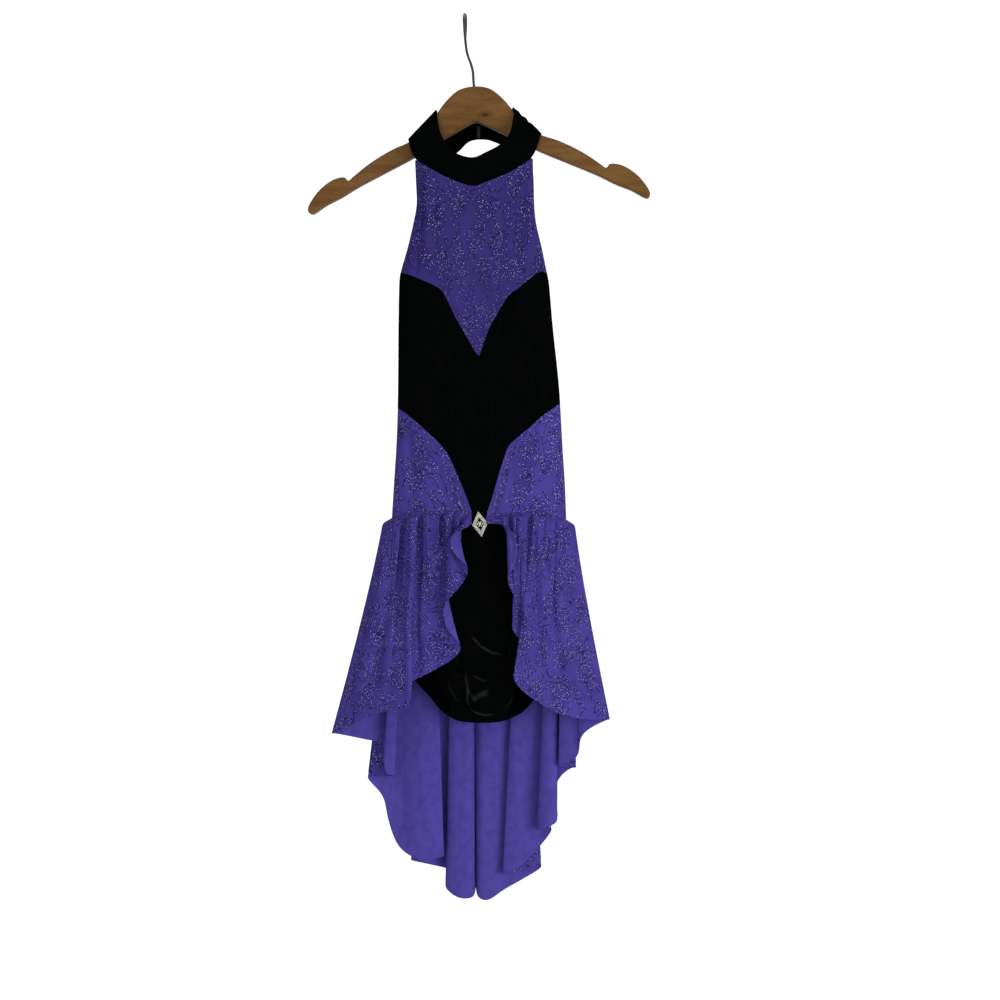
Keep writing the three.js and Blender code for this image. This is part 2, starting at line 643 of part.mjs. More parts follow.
function hangerBody() {
  const shape = new THREE.Shape();
  const right = HANGER_OUTLINE.map((row) => new THREE.Vector2(row.u, row.w));
  const left = right.map((point) => new THREE.Vector2(-point.x, point.y)).reverse();
  const top = new THREE.Vector2(0, 0);
  shape.moveTo(top.x, top.y);
  for (const point of [...right, ...left]) shape.lineTo(point.x, point.y);
  shape.closePath();
  const geometry = new THREE.ExtrudeGeometry(shape, {
    depth: HANGER_THICK - 2 * HANGER_EDGE,
    bevelEnabled: true,
    bevelThickness: HANGER_EDGE,
    bevelSize: HANGER_EDGE,
    bevelOffset: -HANGER_EDGE,
    bevelSegments: 2,
  });
  geometry.translate(0, 0, HANGER_EDGE - HANGER_THICK / 2);
  geometry.rotateX(Math.PI / 2);
  return named("hanger_body", geometry, warmWood());
}

function hangerHook() {
  const points = HOOK_STEM.map((row) => new THREE.Vector3(row.x, row.y, row.z));
  const centreZ = WIRE / 2 - HOOK_RADIUS;
  const lean = HOOK_LEAN.map((x, index) => ({ x, index }));
  for (const t of evenly(HOOK_BEND_STEPS)) {
    const angle = radians(THREE.MathUtils.lerp(HOOK_BEND_FROM, HOOK_BEND_TO, t));
    const x = smoothAt(lean, "index", t * (lean.length - 1), "x");
    points.push(new THREE.Vector3(x, HOOK_RADIUS * Math.cos(angle), centreZ + HOOK_RADIUS * Math.sin(angle)));
  }
  const section = new THREE.Shape();
  section.absarc(0, 0, WIRE / 2, 0, 2 * Math.PI);
  const geometry = new THREE.ExtrudeGeometry(section, {
    steps: 40,
    curveSegments: 4,
    bevelEnabled: false,
    extrudePath: new THREE.CatmullRomCurve3(points),
  });
  return named("hanger_hook", geometry, darkSteel());
}

function rhombus(halfWidth, halfHeight, Path = THREE.Shape) {
  const path = new Path();
  path.moveTo(halfWidth, 0);
  path.lineTo(0, halfHeight);
  path.lineTo(-halfWidth, 0);
  path.lineTo(0, -halfHeight);
  path.closePath();
  return path;
}

function brooch() {
  const halfWidth = BROOCH_WIDTH / 2;
  const halfHeight = BROOCH_HEIGHT / 2;
  const shrink = BROOCH_BAND / halfWidth / Math.sin(Math.atan2(halfHeight, halfWidth));
  const frame = rhombus(halfWidth, halfHeight);
  const innerHalf = halfWidth * (1 - shrink);
  frame.holes.push(rhombus(innerHalf, halfHeight * (1 - shrink), THREE.Path));
  const thick = { depth: BROOCH_THICK, bevelEnabled: false };
  const centre = new THREE.Shape();
  centre.absellipse(0, 0, innerHalf - 2 * SEAM_GAP, BROOCH_CENTRE_HEIGHT / 2, 0, 2 * Math.PI);
  const group = new THREE.Group();
  group.add(named("brooch_frame", new THREE.ExtrudeGeometry(frame, thick), clearStone()));
  group.add(named("brooch_centre",
    new THREE.ExtrudeGeometry(centre, { ...thick, curveSegments: 16 }), clearStone()));
  group.rotation.set(Math.PI / 2, 0, 0);
  const turned = new THREE.Group();
  turned.add(group);
  turned.rotation.y = -radians(BROOCH_TILT);
  turned.position.set(...BROOCH_PLACE);
  return turned;
}

const hanger = new THREE.Group();
hanger.add(hangerBody());
hanger.rotation.set(0, -radians(HANGER_ROLL), -radians(HANGER_YAW), "ZYX");
hanger.position.set(HANGER_MIDDLE, 0, HANGER_TOP);

const costume = new THREE.Group();
costume.add(hanger, hangerHook(), collarRing(), collarClosure(), ...leotard());
costume.add(trunkPanel("trunk_front", TRUNK_FRONT, 1, 12));
costume.add(trunkPanel("trunk_back", TRUNK_BACK, -1, 14));
costume.add(skirtPanel("skirt_left", SKIRT_LEFT_FOLDS, 34));
costume.add(skirtPanel("skirt_back", SKIRT_BACK_FOLDS, 84));
costume.add(skirtPanel("skirt_right", SKIRT_RIGHT_FOLDS, 34));
costume.add(brooch());

export default costume;
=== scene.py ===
"""A lyrical dance costume on a wooden hanger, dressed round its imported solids.

The tables are in millimetres, as a maker reads them, and every mesh is in metres, +Z up, with the
front towards -Y. Turns round the body are in degrees: 0 left side, 90 centre front, 180 right side
and 270 centre back.
"""

import logging
import math
import random
from dataclasses import dataclass, replace
from enum import Enum
from typing import Callable, Iterable, Sequence

import bmesh
import bpy
import numpy as np
from mathutils import Matrix, Vector


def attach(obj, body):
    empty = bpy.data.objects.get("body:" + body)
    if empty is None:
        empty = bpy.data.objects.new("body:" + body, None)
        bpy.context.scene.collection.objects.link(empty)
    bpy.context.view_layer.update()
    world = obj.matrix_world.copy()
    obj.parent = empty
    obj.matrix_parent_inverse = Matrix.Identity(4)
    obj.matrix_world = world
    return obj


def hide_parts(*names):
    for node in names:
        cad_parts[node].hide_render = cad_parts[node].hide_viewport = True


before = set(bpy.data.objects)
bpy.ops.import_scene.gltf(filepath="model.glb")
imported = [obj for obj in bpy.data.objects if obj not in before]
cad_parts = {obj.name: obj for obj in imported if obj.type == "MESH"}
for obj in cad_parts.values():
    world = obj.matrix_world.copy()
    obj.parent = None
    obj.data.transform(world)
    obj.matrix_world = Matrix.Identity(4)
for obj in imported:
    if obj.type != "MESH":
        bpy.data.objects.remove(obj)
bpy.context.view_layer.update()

BODY = "root"
MM = 0.001
LOG = logging.getLogger("costume")

Array = np.ndarray
Table = dict[str, Array]
Pair = tuple[float, float]
Triple = tuple[float, float, float]
Colour = Triple
Grid = tuple[int, int]
Material = bpy.types.Material
Piece = bpy.types.Object
Socket = bpy.types.NodeSocket
BMesh = bmesh.types.BMesh

# Walls and seams, as in the solids but sewn closer
KNIT_WALL = 1.0
VELVET_WALL = 1.4
COLLAR_WALL = 2.4
TAPE_WALL = 1.0
SEAM_GAP = 0.06
COLLAR_CLEAR = 1.0
# Share by which the halter's knit is darkened: painted shade, not a darker dye.
HALTER_PAINTED_SHADE = 0.34
SKIRT_OVER = 0.6
SKIRT_DROP = 0.25
LEFT_SEAM = -7.0
RIGHT_SEAM = 131.5
SEAM_TURN = 0.03
ROLLED_SPAN = (-5.0, 185.0)
ROUNDNESS = 0.8
STEEPEST_SEAM = 3
SEAM_ROUNDS = 12
SEAM_POINTS = 90

# Cloth turned in behind the seams
ALLOWANCE_WALL = 0.6
ALLOWANCE_REACH = 4.0
ALLOWANCE_INSET = 1.3
COLLAR_ALLOWANCE_INSET = 1.7
SIDE_REACH = 2.2


def table(columns: str, *rows: Sequence[float]) -> Table:
    """Turns rows of numbers into named columns.

    Args:
        columns: the columns' names, with spaces between.
        rows: one tuple for each section, fold or place.

    Returns:
        A dictionary from each name to its column.
    """
    return {name: np.array(values, float) for name, values in zip(columns.split(), zip(*rows))}


BODY_SECTIONS = table(
    "z left right side_left side_right front back",
    (-160, -64, 86, -13, -21, -34, 24),
    (-215, -62.5, 87, -11, -17, -34, 24),
    (-246, -62, 88, -8, -12, -32, 24),
    (-269, -66, 91, -6, -8, -30, 24),
    (-298, -73, 98, -3, -4, -28, 25),
    (-331, -82.5, 105, 0, 0, -26, 25),
    (-345, -84, 107.5, 0, 0, -26, 25),
    (-397, -85, 112, 0, 0, -26, 25),
    (-463, -85.5, 119, 0, 0, -26, 25),
    (-500, -86, 122, 0, 0, -26, 25),
    (-554, -88, 125, 0, 0, -27, 26),
    (-601, -91, 128, 0, 0, -27, 27),
    (-650, -94, 130, 0, 0, -27, 27),
)
COLLAR_SEAM = table(
    "x z",
    (-64, -187), (-41, -202.5), (-17, -215.5), (11, -224), (30, -218), (50, -210), (69, -199),
    (86, -187),
)
SWEETHEART_SEAM = table(
    "x z",
    (-84, -331), (-72, -335), (-56, -342), (-35, -352), (-27, -360), (-12, -390), (1, -413),
    (18, -442), (30, -408), (43, -384), (56, -363), (69, -353), (80, -343), (95, -331),
)
HIP_SEAM = table(
    "x z",
    (-88, -503), (-69, -517), (-50, -534), (-36, -547), (-23, -562), (-14, -580), (-5, -601),
    (3, -621), (10, -638.5), (27, -640.5), (35, -620), (42, -595), (49, -573), (55, -556),
    (63, -547), (81, -532), (100, -515), (123, -498),
)
HIP_SEAM_BACK = table("x z", (-87, -503), (123, -498))
BACK_TOP = table("x z", (-86, -331), (-40, -352), (12, -362), (64, -352), (110, -331))
SKIRT_SEAM = table(
    "x z",
    (-98, -646), (-90, -645.8), (-60, -638), (-20, -637), (10, -641), (27, -643), (60, -638),
    (95, -639), (127, -647.8), (134, -648),
)
SKIRT_SEAM_BACK = table(
    "x z", (-98, -646), (-90, -645.8), (18, -643), (127, -647.8), (134, -648)
)
COLLAR_STATIONS = table(
    "rim_x rim_y rim_z base_x base_y base_z",
    (-36.5, 2, -120.5, -73, 5, -158.5),
    (-35.5, -4, -131, -70.5, -4, -170),
    (-32, -14, -150, -63.5, -13, -186),
    (-25, -25, -167, -41, -29.5, -202),
    (-11, -37, -184, -17, -33, -215),
    (11, -43, -191, 11, -34, -223.5),
    (27, -41, -184, 30, -34, -217.5),
    (45, -36, -173, 50, -33.5, -209.5),
    (57, -30, -158, 69, -31.5, -198.5),
    (61.5, -24, -139, 85.5, -23, -186.5),
    (62.5, -20, -129, 94, -22.5, -168),
    (61, -13, -121, 97.2, -17, -156),
    (61, -2, -121, 97.2, -6, -156),
    (58, 6, -125, 88, 5, -167),
    (50, 14, -117, 66, 17, -168),
    (38, 19, -108, 45, 26, -159),
    (24, 22, -103, 27, 31, -152),
    (6, 23, -106, 6, 31, -154),
    (-10, 23, -117, -13, 28, -171),
    (-24, 22, -127, -40, 25, -180),
    (-33, 20, -129, -64, 24.5, -172),
    (-36.5, 13, -120.5, -73, 18, -157),
)
TRUNK_FRONT = table(
    "z left right edge middle sag",
    (-640, -90.8, 126.8, -0.4, -24.6, 0),
    (-690, -90, 126, -0.4, -23, 0),
    (-740, -87, 122, -0.4, -22, 0),
    (-775, -79, 114, -3, -21.5, 0),
    (-810, -60, 96, -6, -20.5, 1),
    (-845, -39, 75, -8, -18, 2),
    (-875, -24, 61, -8, -14.5, 3),
    (-895, -17, 56, -7, -10, 5),
    (-902, -15, 54, -3.4, -3.4, 6),
)
TRUNK_BACK = table(
    "z left right edge middle sag",
    (-640, -90.8, 126.8, 0.4, 24.4, 0),
    (-690, -90, 126, 0.4, 24.5, 0),
    (-740, -87, 122, 0.4, 24.5, 0),
    (-775, -84, 118, 3, 24.5, 0),
    (-815, -78, 110, 5, 24.5, 1),
    (-850, -68, 101, 7, 23.5, 4),
    (-872, -49, 93, 8, 21, 10),
    (-888, -34, 80, 7, 16, 15),
    (-898, -20, 62, 4, 8, 12),
    (-902, -15, 54, -0.6, -0.6, 6),
)
SKIRT_LEFT_FOLDS = table(
    "turn x y z",
    (87.3, 9, -31, -653),
    (86.9, 5, -45, -656),
    (86.4, -3, -55, -660),
    (85.9, -11, -60, -665),
    (85.3, -17, -58, -671),
    (83.8, -13, -52, -690),
    (81.5, 5, -47, -709),
    (77, -5, -44, -732),
    (71, -26, -43, -757),
    (69, -22, -38, -786),
    (66, -3, -34, -812),
    (61, -38, -30, -839),
    (56, -79, -26, -862),
    (51, -68, -40, -882),
    (40, -91, -36, -889),
    (25, -123, -26, -898),
    (12, -148, -16, -914),
    (2, -167, -9.7, -921),
    (0.1, -170, -6.7, -922.5),
)
SKIRT_BACK_FOLDS = table(
    "turn x y z",
    (359.9, -170, -6.6, -922.5),
    (358, -167, -3.6, -923),
    (353, -146, 9, -929),
    (348.5, -126, 19, -935),
    (345, -107, 23, -940),
    (342.5, -105.5, 13, -956),
    (339.5, -101, 11, -978),
    (336.5, -90, 13, -980),
    (333.5, -106, 22, -983),
    (328, -129, 27, -984),
    (323, -108, 32, -1010),
    (318, -101, 34, -1043),
    (312, -86, 34, -1079),
    (307, -56, 27, -1093),
    (302.5, -27, 31, -1088),
    (298, -50, 41, -1094),
    (294, -74, 46, -1097),
    (290, -45, 56, -1106),
    (286.5, -14, 61, -1117),
    (283, -28, 48, -1131),
    (279.5, -10, 42, -1146),
    (275, 10, 43, -1145),
    (272, 13, 56, -1131),
    (269, 16, 43, -1145),
    (264.5, 28, 40, -1149),
    (259, 50, 45, -1136),
    (254, 76, 51, -1123),
    (249, 101, 48, -1106),
    (245.5, 74, 42, -1108),
    (242, 47, 34, -1115),
    (236, 70, 30, -1103),
    (229, 99, 33, -1074),
    (221.5, 113, 28, -1052),
    (217, 92, 19, -1053),
    (212, 107, 11, -1046),
    (208, 119, 15, -1040),
    (204, 115, 26, -1014),
    (200, 121, 25, -987),
    (197, 137, 21, -972),
    (194, 144, 14, -970),
    (191, 118, 8, -966),
    (187, 144, 1, -955),
    (184, 149, -4, -925),
    (182, 181.5, -8.7, -905),
    (180.1, 184.5, -11.9, -904),
)
SKIRT_RIGHT_FOLDS = table(
    "turn x y z",
    (179.9, 184.5, -12, -904),
    (178, 181.5, -15, -903.5),
    (170, 157, -18, -903),
    (161, 139, -23, -900),
    (151, 118, -28, -894),
    (142, 102, -32, -885),
    (134, 89, -36, -876),
    (128, 77, -40, -867),
    (123, 61, -44, -846),
    (119, 71, -35, -826),
    (115, 73, -30, -806),
    (111, 60, -34, -785),
    (108, 65, -38, -763),
    (105, 63, -42, -742),
    (102.5, 57, -45, -723),
    (100.5, 66, -49, -697),
    (98, 64, -51, -670),
    (96, 54, -50, -655),
    (92.5, 28, -31, -653),
)

# How the skirt's folds soften from the hem up, and how it puffs under the gathered seam
SOFT_AT_HEM = 0.36
SOFT_AT_SEAM = 2.1
SOFT_WHERE_DEEP = 0.3
SOFT_TAPS = ((-1, 1 / 9), (-0.5, 2 / 9), (0, 3 / 9), (0.5, 2 / 9), (1, 1 / 9))
BEND_WORTH = 6.0
PUFF = 9.5
PUFF_RISE = 5.0
PUFF_FALL = 110.0
PUFF_DROP = 60.0
GATHERS = table(
    "turn depth width",
    (37.6, 4.4, 1.8), (54, 4, 1.6), (70, 4.4, 1.5), (77.7, 3.4, 1.3), (83.5, 4.6, 1.7),
    (105, 3.6, 1.6), (120.4, 4.2, 1.8), (146, 3, 2), (206, 3.4, 3), (228, 3, 2.6), (247, 3.6, 2.4),
    (263, 3, 2.2), (281, 3.4, 2.4), (299, 3, 2.6), (318, 3.6, 2.8), (336, 3, 3),
)
HANGER_OUTLINE = table(
    "u w",
    (0, 0), (20, -3.8), (36, -16.5), (48, -31), (53, -38), (68, -55), (86, -67), (108, -75.5),
    (132, -88), (146, -97), (160, -107.5), (168, -113), (172.5, -108.5), (187, -110.5),
    (203, -120.5), (215, -133.5), (222.5, -148), (219, -153.5), (198, -142.5), (178, -133.5),
    (157, -122), (112, -101), (80, -86), (41, -65), (8, -48), (0, -45.4),
)
HOOK_STEM = table(
    "x y z", (11.5, 0, -91.2), (10.8, 0, -82), (10, 0.5, -71), (7.5, 5, -60), (4, 13, -49)
)
HOOK_LEAN = table("index x", (0, 1.5), (1, -1), (2, -1.5), (3, 1.5), (4, 1))


def smooth_at(rows: Table, along: str, at: Array, column: str) -> Array:
    """Reads a column smoothly at places along another.

    Args:
        rows: the table.
        along: the column that rises or falls from row to row.
        at: the places along it.
        column: the column to read.

    Returns:
        The values, with a soft turn at each row.
    """
    xs, ys = rows[along], rows[column]
    way = 1.0 if xs[-1] > xs[0] else -1.0
    last = len(xs) - 1
    k = np.clip(np.searchsorted(xs * way, np.asarray(at) * way) - 1, 0, last - 1)
    before, after = np.maximum(k - 1, 0), np.minimum(k + 2, last)
    span = xs[k + 1] - xs[k]
    t = np.clip((at - xs[k]) / span, 0, 1)
    slope_a = (ys[k + 1] - ys[before]) / (xs[k + 1] - xs[before])
    slope_b = (ys[after] - ys[k]) / (xs[after] - xs[k])
    t2, t3 = t * t, t * t * t
    return (
        (2 * t3 - 3 * t2 + 1) * ys[k]
        + (t3 - 2 * t2 + t) * span * slope_a
        + (3 * t2 - 2 * t3) * ys[k + 1]
        + (t3 - t2) * span * slope_b
    )


def softened(rows: Table, corner: float | None = None) -> Table:
    """The same seam with smooth curves between its places, kept sharp at a corner."""
    if corner is None:
        x = np.linspace(rows["x"][0], rows["x"][-1], SEAM_POINTS)
        return {"x": x, "z": smooth_at(rows, "x", x, "z")}
    k = int(np.argmin(np.abs(rows["x"] - corner))) + 1
    ahead = softened({name: column[:k] for name, column in rows.items()})
    after = softened({name: column[k - 1:] for name, column in rows.items()})
    return {name: np.concatenate((ahead[name], after[name][1:])) for name in rows}


def seam_at(rows: Table, x: Array) -> tuple[Array, Array]:
    """The straight-line height of a seam at x, and its slope there."""
    xs, zs = rows["x"], rows["z"]
    k = np.clip(np.searchsorted(xs, x) - 1, 0, len(xs) - 2)
    slope = (zs[k + 1] - zs[k]) / (xs[k + 1] - xs[k])
    return zs[k] + slope * (np.clip(x, xs[0], xs[-1]) - xs[k]), slope


COLLAR_LINE = softened(COLLAR_SEAM)
SWEETHEART_LINE = softened(SWEETHEART_SEAM, corner=18)
HIP_LINE = softened(HIP_SEAM)


def points_of(rows: Table, names: str = "x y z") -> Array:
    """The points that the named columns of a table hold."""
    return np.stack([rows[name] for name in names.split()], axis=-1)


def run_along(places: Array, axis: int) -> Array:
    """How far each place of a grid lies from the first one, along its column or its row."""
    steps = np.linalg.norm(np.diff(places, axis=axis), axis=-1)
    start = np.zeros_like(np.take(steps, [0], axis))
    return np.concatenate((start, np.cumsum(steps, axis)), axis=axis)


def flattened(value: Array) -> Array:
    """A signed power, for the body's flattened round section."""
    return np.sign(value) * np.abs(value) ** ROUNDNESS


def body_plan(turn: Array, z: Array) -> tuple[Array, Array]:
    """Where a turn round the body lies in plan, at a height."""
    left, right, side_left, side_right, front, back = (
        smooth_at(BODY_SECTIONS, "z", z, name) for name in list(BODY_SECTIONS)[1:]
    )
    across = flattened(np.cos(np.radians(turn)))
    depth = flattened(np.sin(np.radians(turn)))
    side = side_right + (side_left - side_right) * (1 + across) / 2
    reach = np.where(depth > 0, front - side, side - back)
    return (left + right) / 2 - (right - left) / 2 * across, side + depth * reach


def body_point(turn: Array, z: Array, out: float = 0.0) -> Array:
    """Points on the body at turns and heights, moved out by a distance in plan.

    Args:
        turn: turns round the body.
        z: heights.
        out: how far outside the body the points lie.

    Returns:
        The points, with x, y and z in the last axis.
    """
    x, y = body_plan(turn, z)
    if out:
        x_on, y_on = body_plan(turn + 0.5, z)
        x_off, y_off = body_plan(turn - 0.5, z)
        length = np.hypot(x_on - x_off, y_on - y_off)
        x = x + out * (y_on - y_off) / length
        y = y - out * (x_on - x_off) / length
    return np.stack(np.broadcast_arrays(x, y, z), axis=-1)


def height_at(rows: Table, turn: Array, side: float) -> Array:
    """The height at which turns cross a seam line, kept half a seam gap clear of it."""
    z = np.full(np.shape(turn), rows["z"][0])
    found, slope = seam_at(rows, body_plan(turn, z)[0])
    for _ in range(SEAM_ROUNDS):
        z = (z + found) / 2
        found, slope = seam_at(rows, body_plan(turn, z)[0])
    return z + side * np.minimum(np.hypot(1, slope), STEEPEST_SEAM) * SEAM_GAP / 2


def seam(side: float, front: Table, back: Table | None = None) -> Callable[[Array], Array]:
    """A seam's height as a function of the turn.

    Args:
        side: 1 for just over the seam, 0 for on it and -1 for just under it.
        front: its line in front.
        back: its line behind, where that is another one.

    Returns:
        The function.
    """

    def height(turn: Array) -> Array:
        """The height at each turn."""
        ahead = height_at(front, turn, side)
        if back is None:
            return ahead
        return np.where((turn > 0) & (turn < 180), ahead, height_at(back, turn, side))

    return height


class SmoothLine:
    """A smooth line through points, whose bends suit their spacing."""

    def __init__(self, points: Array, closed: bool = False) -> None:
        """Fits one cubic to each span.

        Args:
            points: the points in order.
            closed: whether the last one joins the first.
        """
        count = len(points)
        self.spans = count if closed else count - 1
        self.closed = closed
        self.cubics = np.zeros((self.spans, 4, points.shape[1]))
        for k in range(self.spans):
            p1, p2 = points[k], points[(k + 1) % count]
            p0 = points[k - 1] if closed or k else 2 * points[0] - points[1]
            more = closed or k + 2 < count
            p3 = points[(k + 2) % count] if more else 2 * points[-1] - points[-2]
            d0, d1, d2 = (
                float(np.sum((b - a) ** 2)) ** 0.25 for a, b in ((p0, p1), (p1, p2), (p2, p3))
            )
            t1 = ((p1 - p0) / d0 - (p2 - p0) / (d0 + d1) + (p2 - p1) / d1) * d1
            t2 = ((p2 - p1) / d1 - (p3 - p1) / (d1 + d2) + (p3 - p2) / d2) * d1
            self.cubics[k] = (p1, t1, 3 * (p2 - p1) - 2 * t1 - t2, 2 * (p1 - p2) + t1 + t2)

    def at(self, t: Array) -> Array:
        """Points at shares of the line's spans."""
        place = (np.mod(t, 1) if self.closed else np.clip(t, 0, 1)) * self.spans
        k = np.minimum(place.astype(int), self.spans - 1)
        w = (place - k)[..., None]
        c = self.cubics[k]
        return c[..., 0, :] + w * (c[..., 1, :] + w * (c[..., 2, :] + w * c[..., 3, :]))


def srgb(red: float, green: float, blue: float) -> Colour:
    """A colour as a screen shows it, from 0 to 255, as the linear values that a shader takes."""

    def linear(value: float) -> float:
        """One channel, linear."""
        share = value / 255
        return share / 12.92 if share <= 0.04045 else ((share + 0.055) / 1.055) ** 2.4

    return linear(red), linear(green), linear(blue)


class Nodes:
    """A node tree, with a short method for each kind of node that the finishes use."""

    def __init__(self, tree: bpy.types.NodeTree) -> None:
        """Takes the tree that it adds to."""
        self.tree = tree

    def put(self, socket: Socket, value: object) -> None:
        """Links a socket to another, or sets its value."""
        if isinstance(value, Socket):
            self.tree.links.new(value, socket)
        elif isinstance(value, tuple) and len(value) == 3 and socket.type == "RGBA":
            socket.default_value = (*value, 1.0)
        else:
            socket.default_value = value

    def node(self, kind: str, values: dict, **settings: object) -> bpy.types.Node:
        """Adds a node.

        Args:
            kind: Blender's name for it.
            values: what each input takes, a socket or a value.
            settings: the node's own properties.

        Returns:
            The node.
        """
        made = self.tree.nodes.new(kind)
        for name, value in settings.items():
            setattr(made, name, value)
        for name, value in values.items():
            self.put(made.inputs[name], value)
        return made

    def place_mm(self, kind: str) -> Socket:
        """The place in millimetres, on the flat cloth for UV or in the part for Object."""
        where = self.node("ShaderNodeTexCoord", {}).outputs[kind]
        return self.vector("SCALE", where, scale=1 / MM)

    def split(self, value: object) -> Sequence[Socket]:
        """The three parts of a vector or a colour."""
        return self.node("ShaderNodeSeparateXYZ", {0: value}).outputs

    def math(self, operation: str, a: object, b: object = 0.0) -> Socket:
        """A calculation with one or two values."""
        return self.node("ShaderNodeMath", {0: a, 1: b}, operation=operation).outputs[0]

    def plus(self, a: object, b: object) -> Socket:
        """The sum of two values."""
        return self.math("ADD", a, b)

    def times(self, a: object, b: object) -> Socket:
        """The product of two values."""
        return self.math("MULTIPLY", a, b)

    def vector(
        self, operation: str, a: object, b: object = (0, 0, 0), scale: float = 1.0
    ) -> Socket:
        """A calculation with one or two vectors."""
        values = {0: a, "Scale": scale} if operation == "SCALE" else {0: a, 1: b}
        made = self.node("ShaderNodeVectorMath", values, operation=operation)
        return made.outputs["Value" if operation == "LENGTH" else "Vector"]

    def noise(self, at: object, size: float, detail: float = 2.0, colour: bool = False) -> Socket:
        """Soft noise whose patches are of a size in millimetres."""
        made = self.node("ShaderNodeTexNoise", {"Vector": at, "Scale": 1 / size, "Detail": detail})
        return made.outputs["Color" if colour else "Fac"]

    def cells(self, at: object, size: float, loose: float = 1.0) -> bpy.types.Node:
        """Cells of a size in millimetres, on the flat."""
        values = {"Vector": self.vector("SCALE", at, scale=1 / size), "Scale": 1.0}
        return self.node(
            "ShaderNodeTexVoronoi", {**values, "Randomness": loose}, voronoi_dimensions="2D"
        )

    def step(
        self, value: object, low: float, high: float, start: float = 0.0, end: float = 1.0
    ) -> Socket:
        """A soft step from start at low to end at high, where low may be the larger."""
        if low > high:
            low, high, start, end = high, low, end, start
        values = {"Value": value, "From Min": low, "From Max": high, "To Min": start, "To Max": end}
        return self.node("ShaderNodeMapRange", values, interpolation_type="SMOOTHSTEP").outputs[0]

    def mix(self, share: object, a: object, b: object) -> Socket:
        """A colour between two."""
        made = self.node("ShaderNodeMix", {}, data_type="RGBA")
        self.put(made.inputs["Factor"], share)
        colours = [socket for socket in made.inputs if socket.type == "RGBA"]
        self.put(colours[0], a)
        self.put(colours[1], b)
        return next(socket for socket in made.outputs if socket.type == "RGBA")


class Surface(Nodes):
    """The nodes of a new material, round one principled shader."""

    def __init__(self, name: str) -> None:
        """Makes the material."""
        self.material = bpy.data.materials.new(name)
        self.material.use_nodes = True
        super().__init__(self.material.node_tree)
        self.tree.nodes.clear()
        self.shader = self.tree.nodes.new("ShaderNodeBsdfPrincipled")
        output = self.tree.nodes.new("ShaderNodeOutputMaterial")
        self.tree.links.new(self.shader.outputs[0], output.inputs[0])

    def wear(self, **values: object) -> None:
        """Sets the shader's inputs, whose names have underscores for spaces."""
        for name, value in values.items():
            self.put(self.shader.inputs[name.replace("_", " ")], value)

    def bump(self, height: object, strength: float, distance: float) -> None:
        """Raises the surface by a height, in metres at full strength."""
        values = {"Strength": strength, "Distance": distance, "Height": height}
        self.wear(Normal=self.node("ShaderNodeBump", values).outputs[0])


class Knit(Enum):
    """The two faces of the stretch knit."""

    PRINTED = "printed face"
    PLAIN = "plain back"


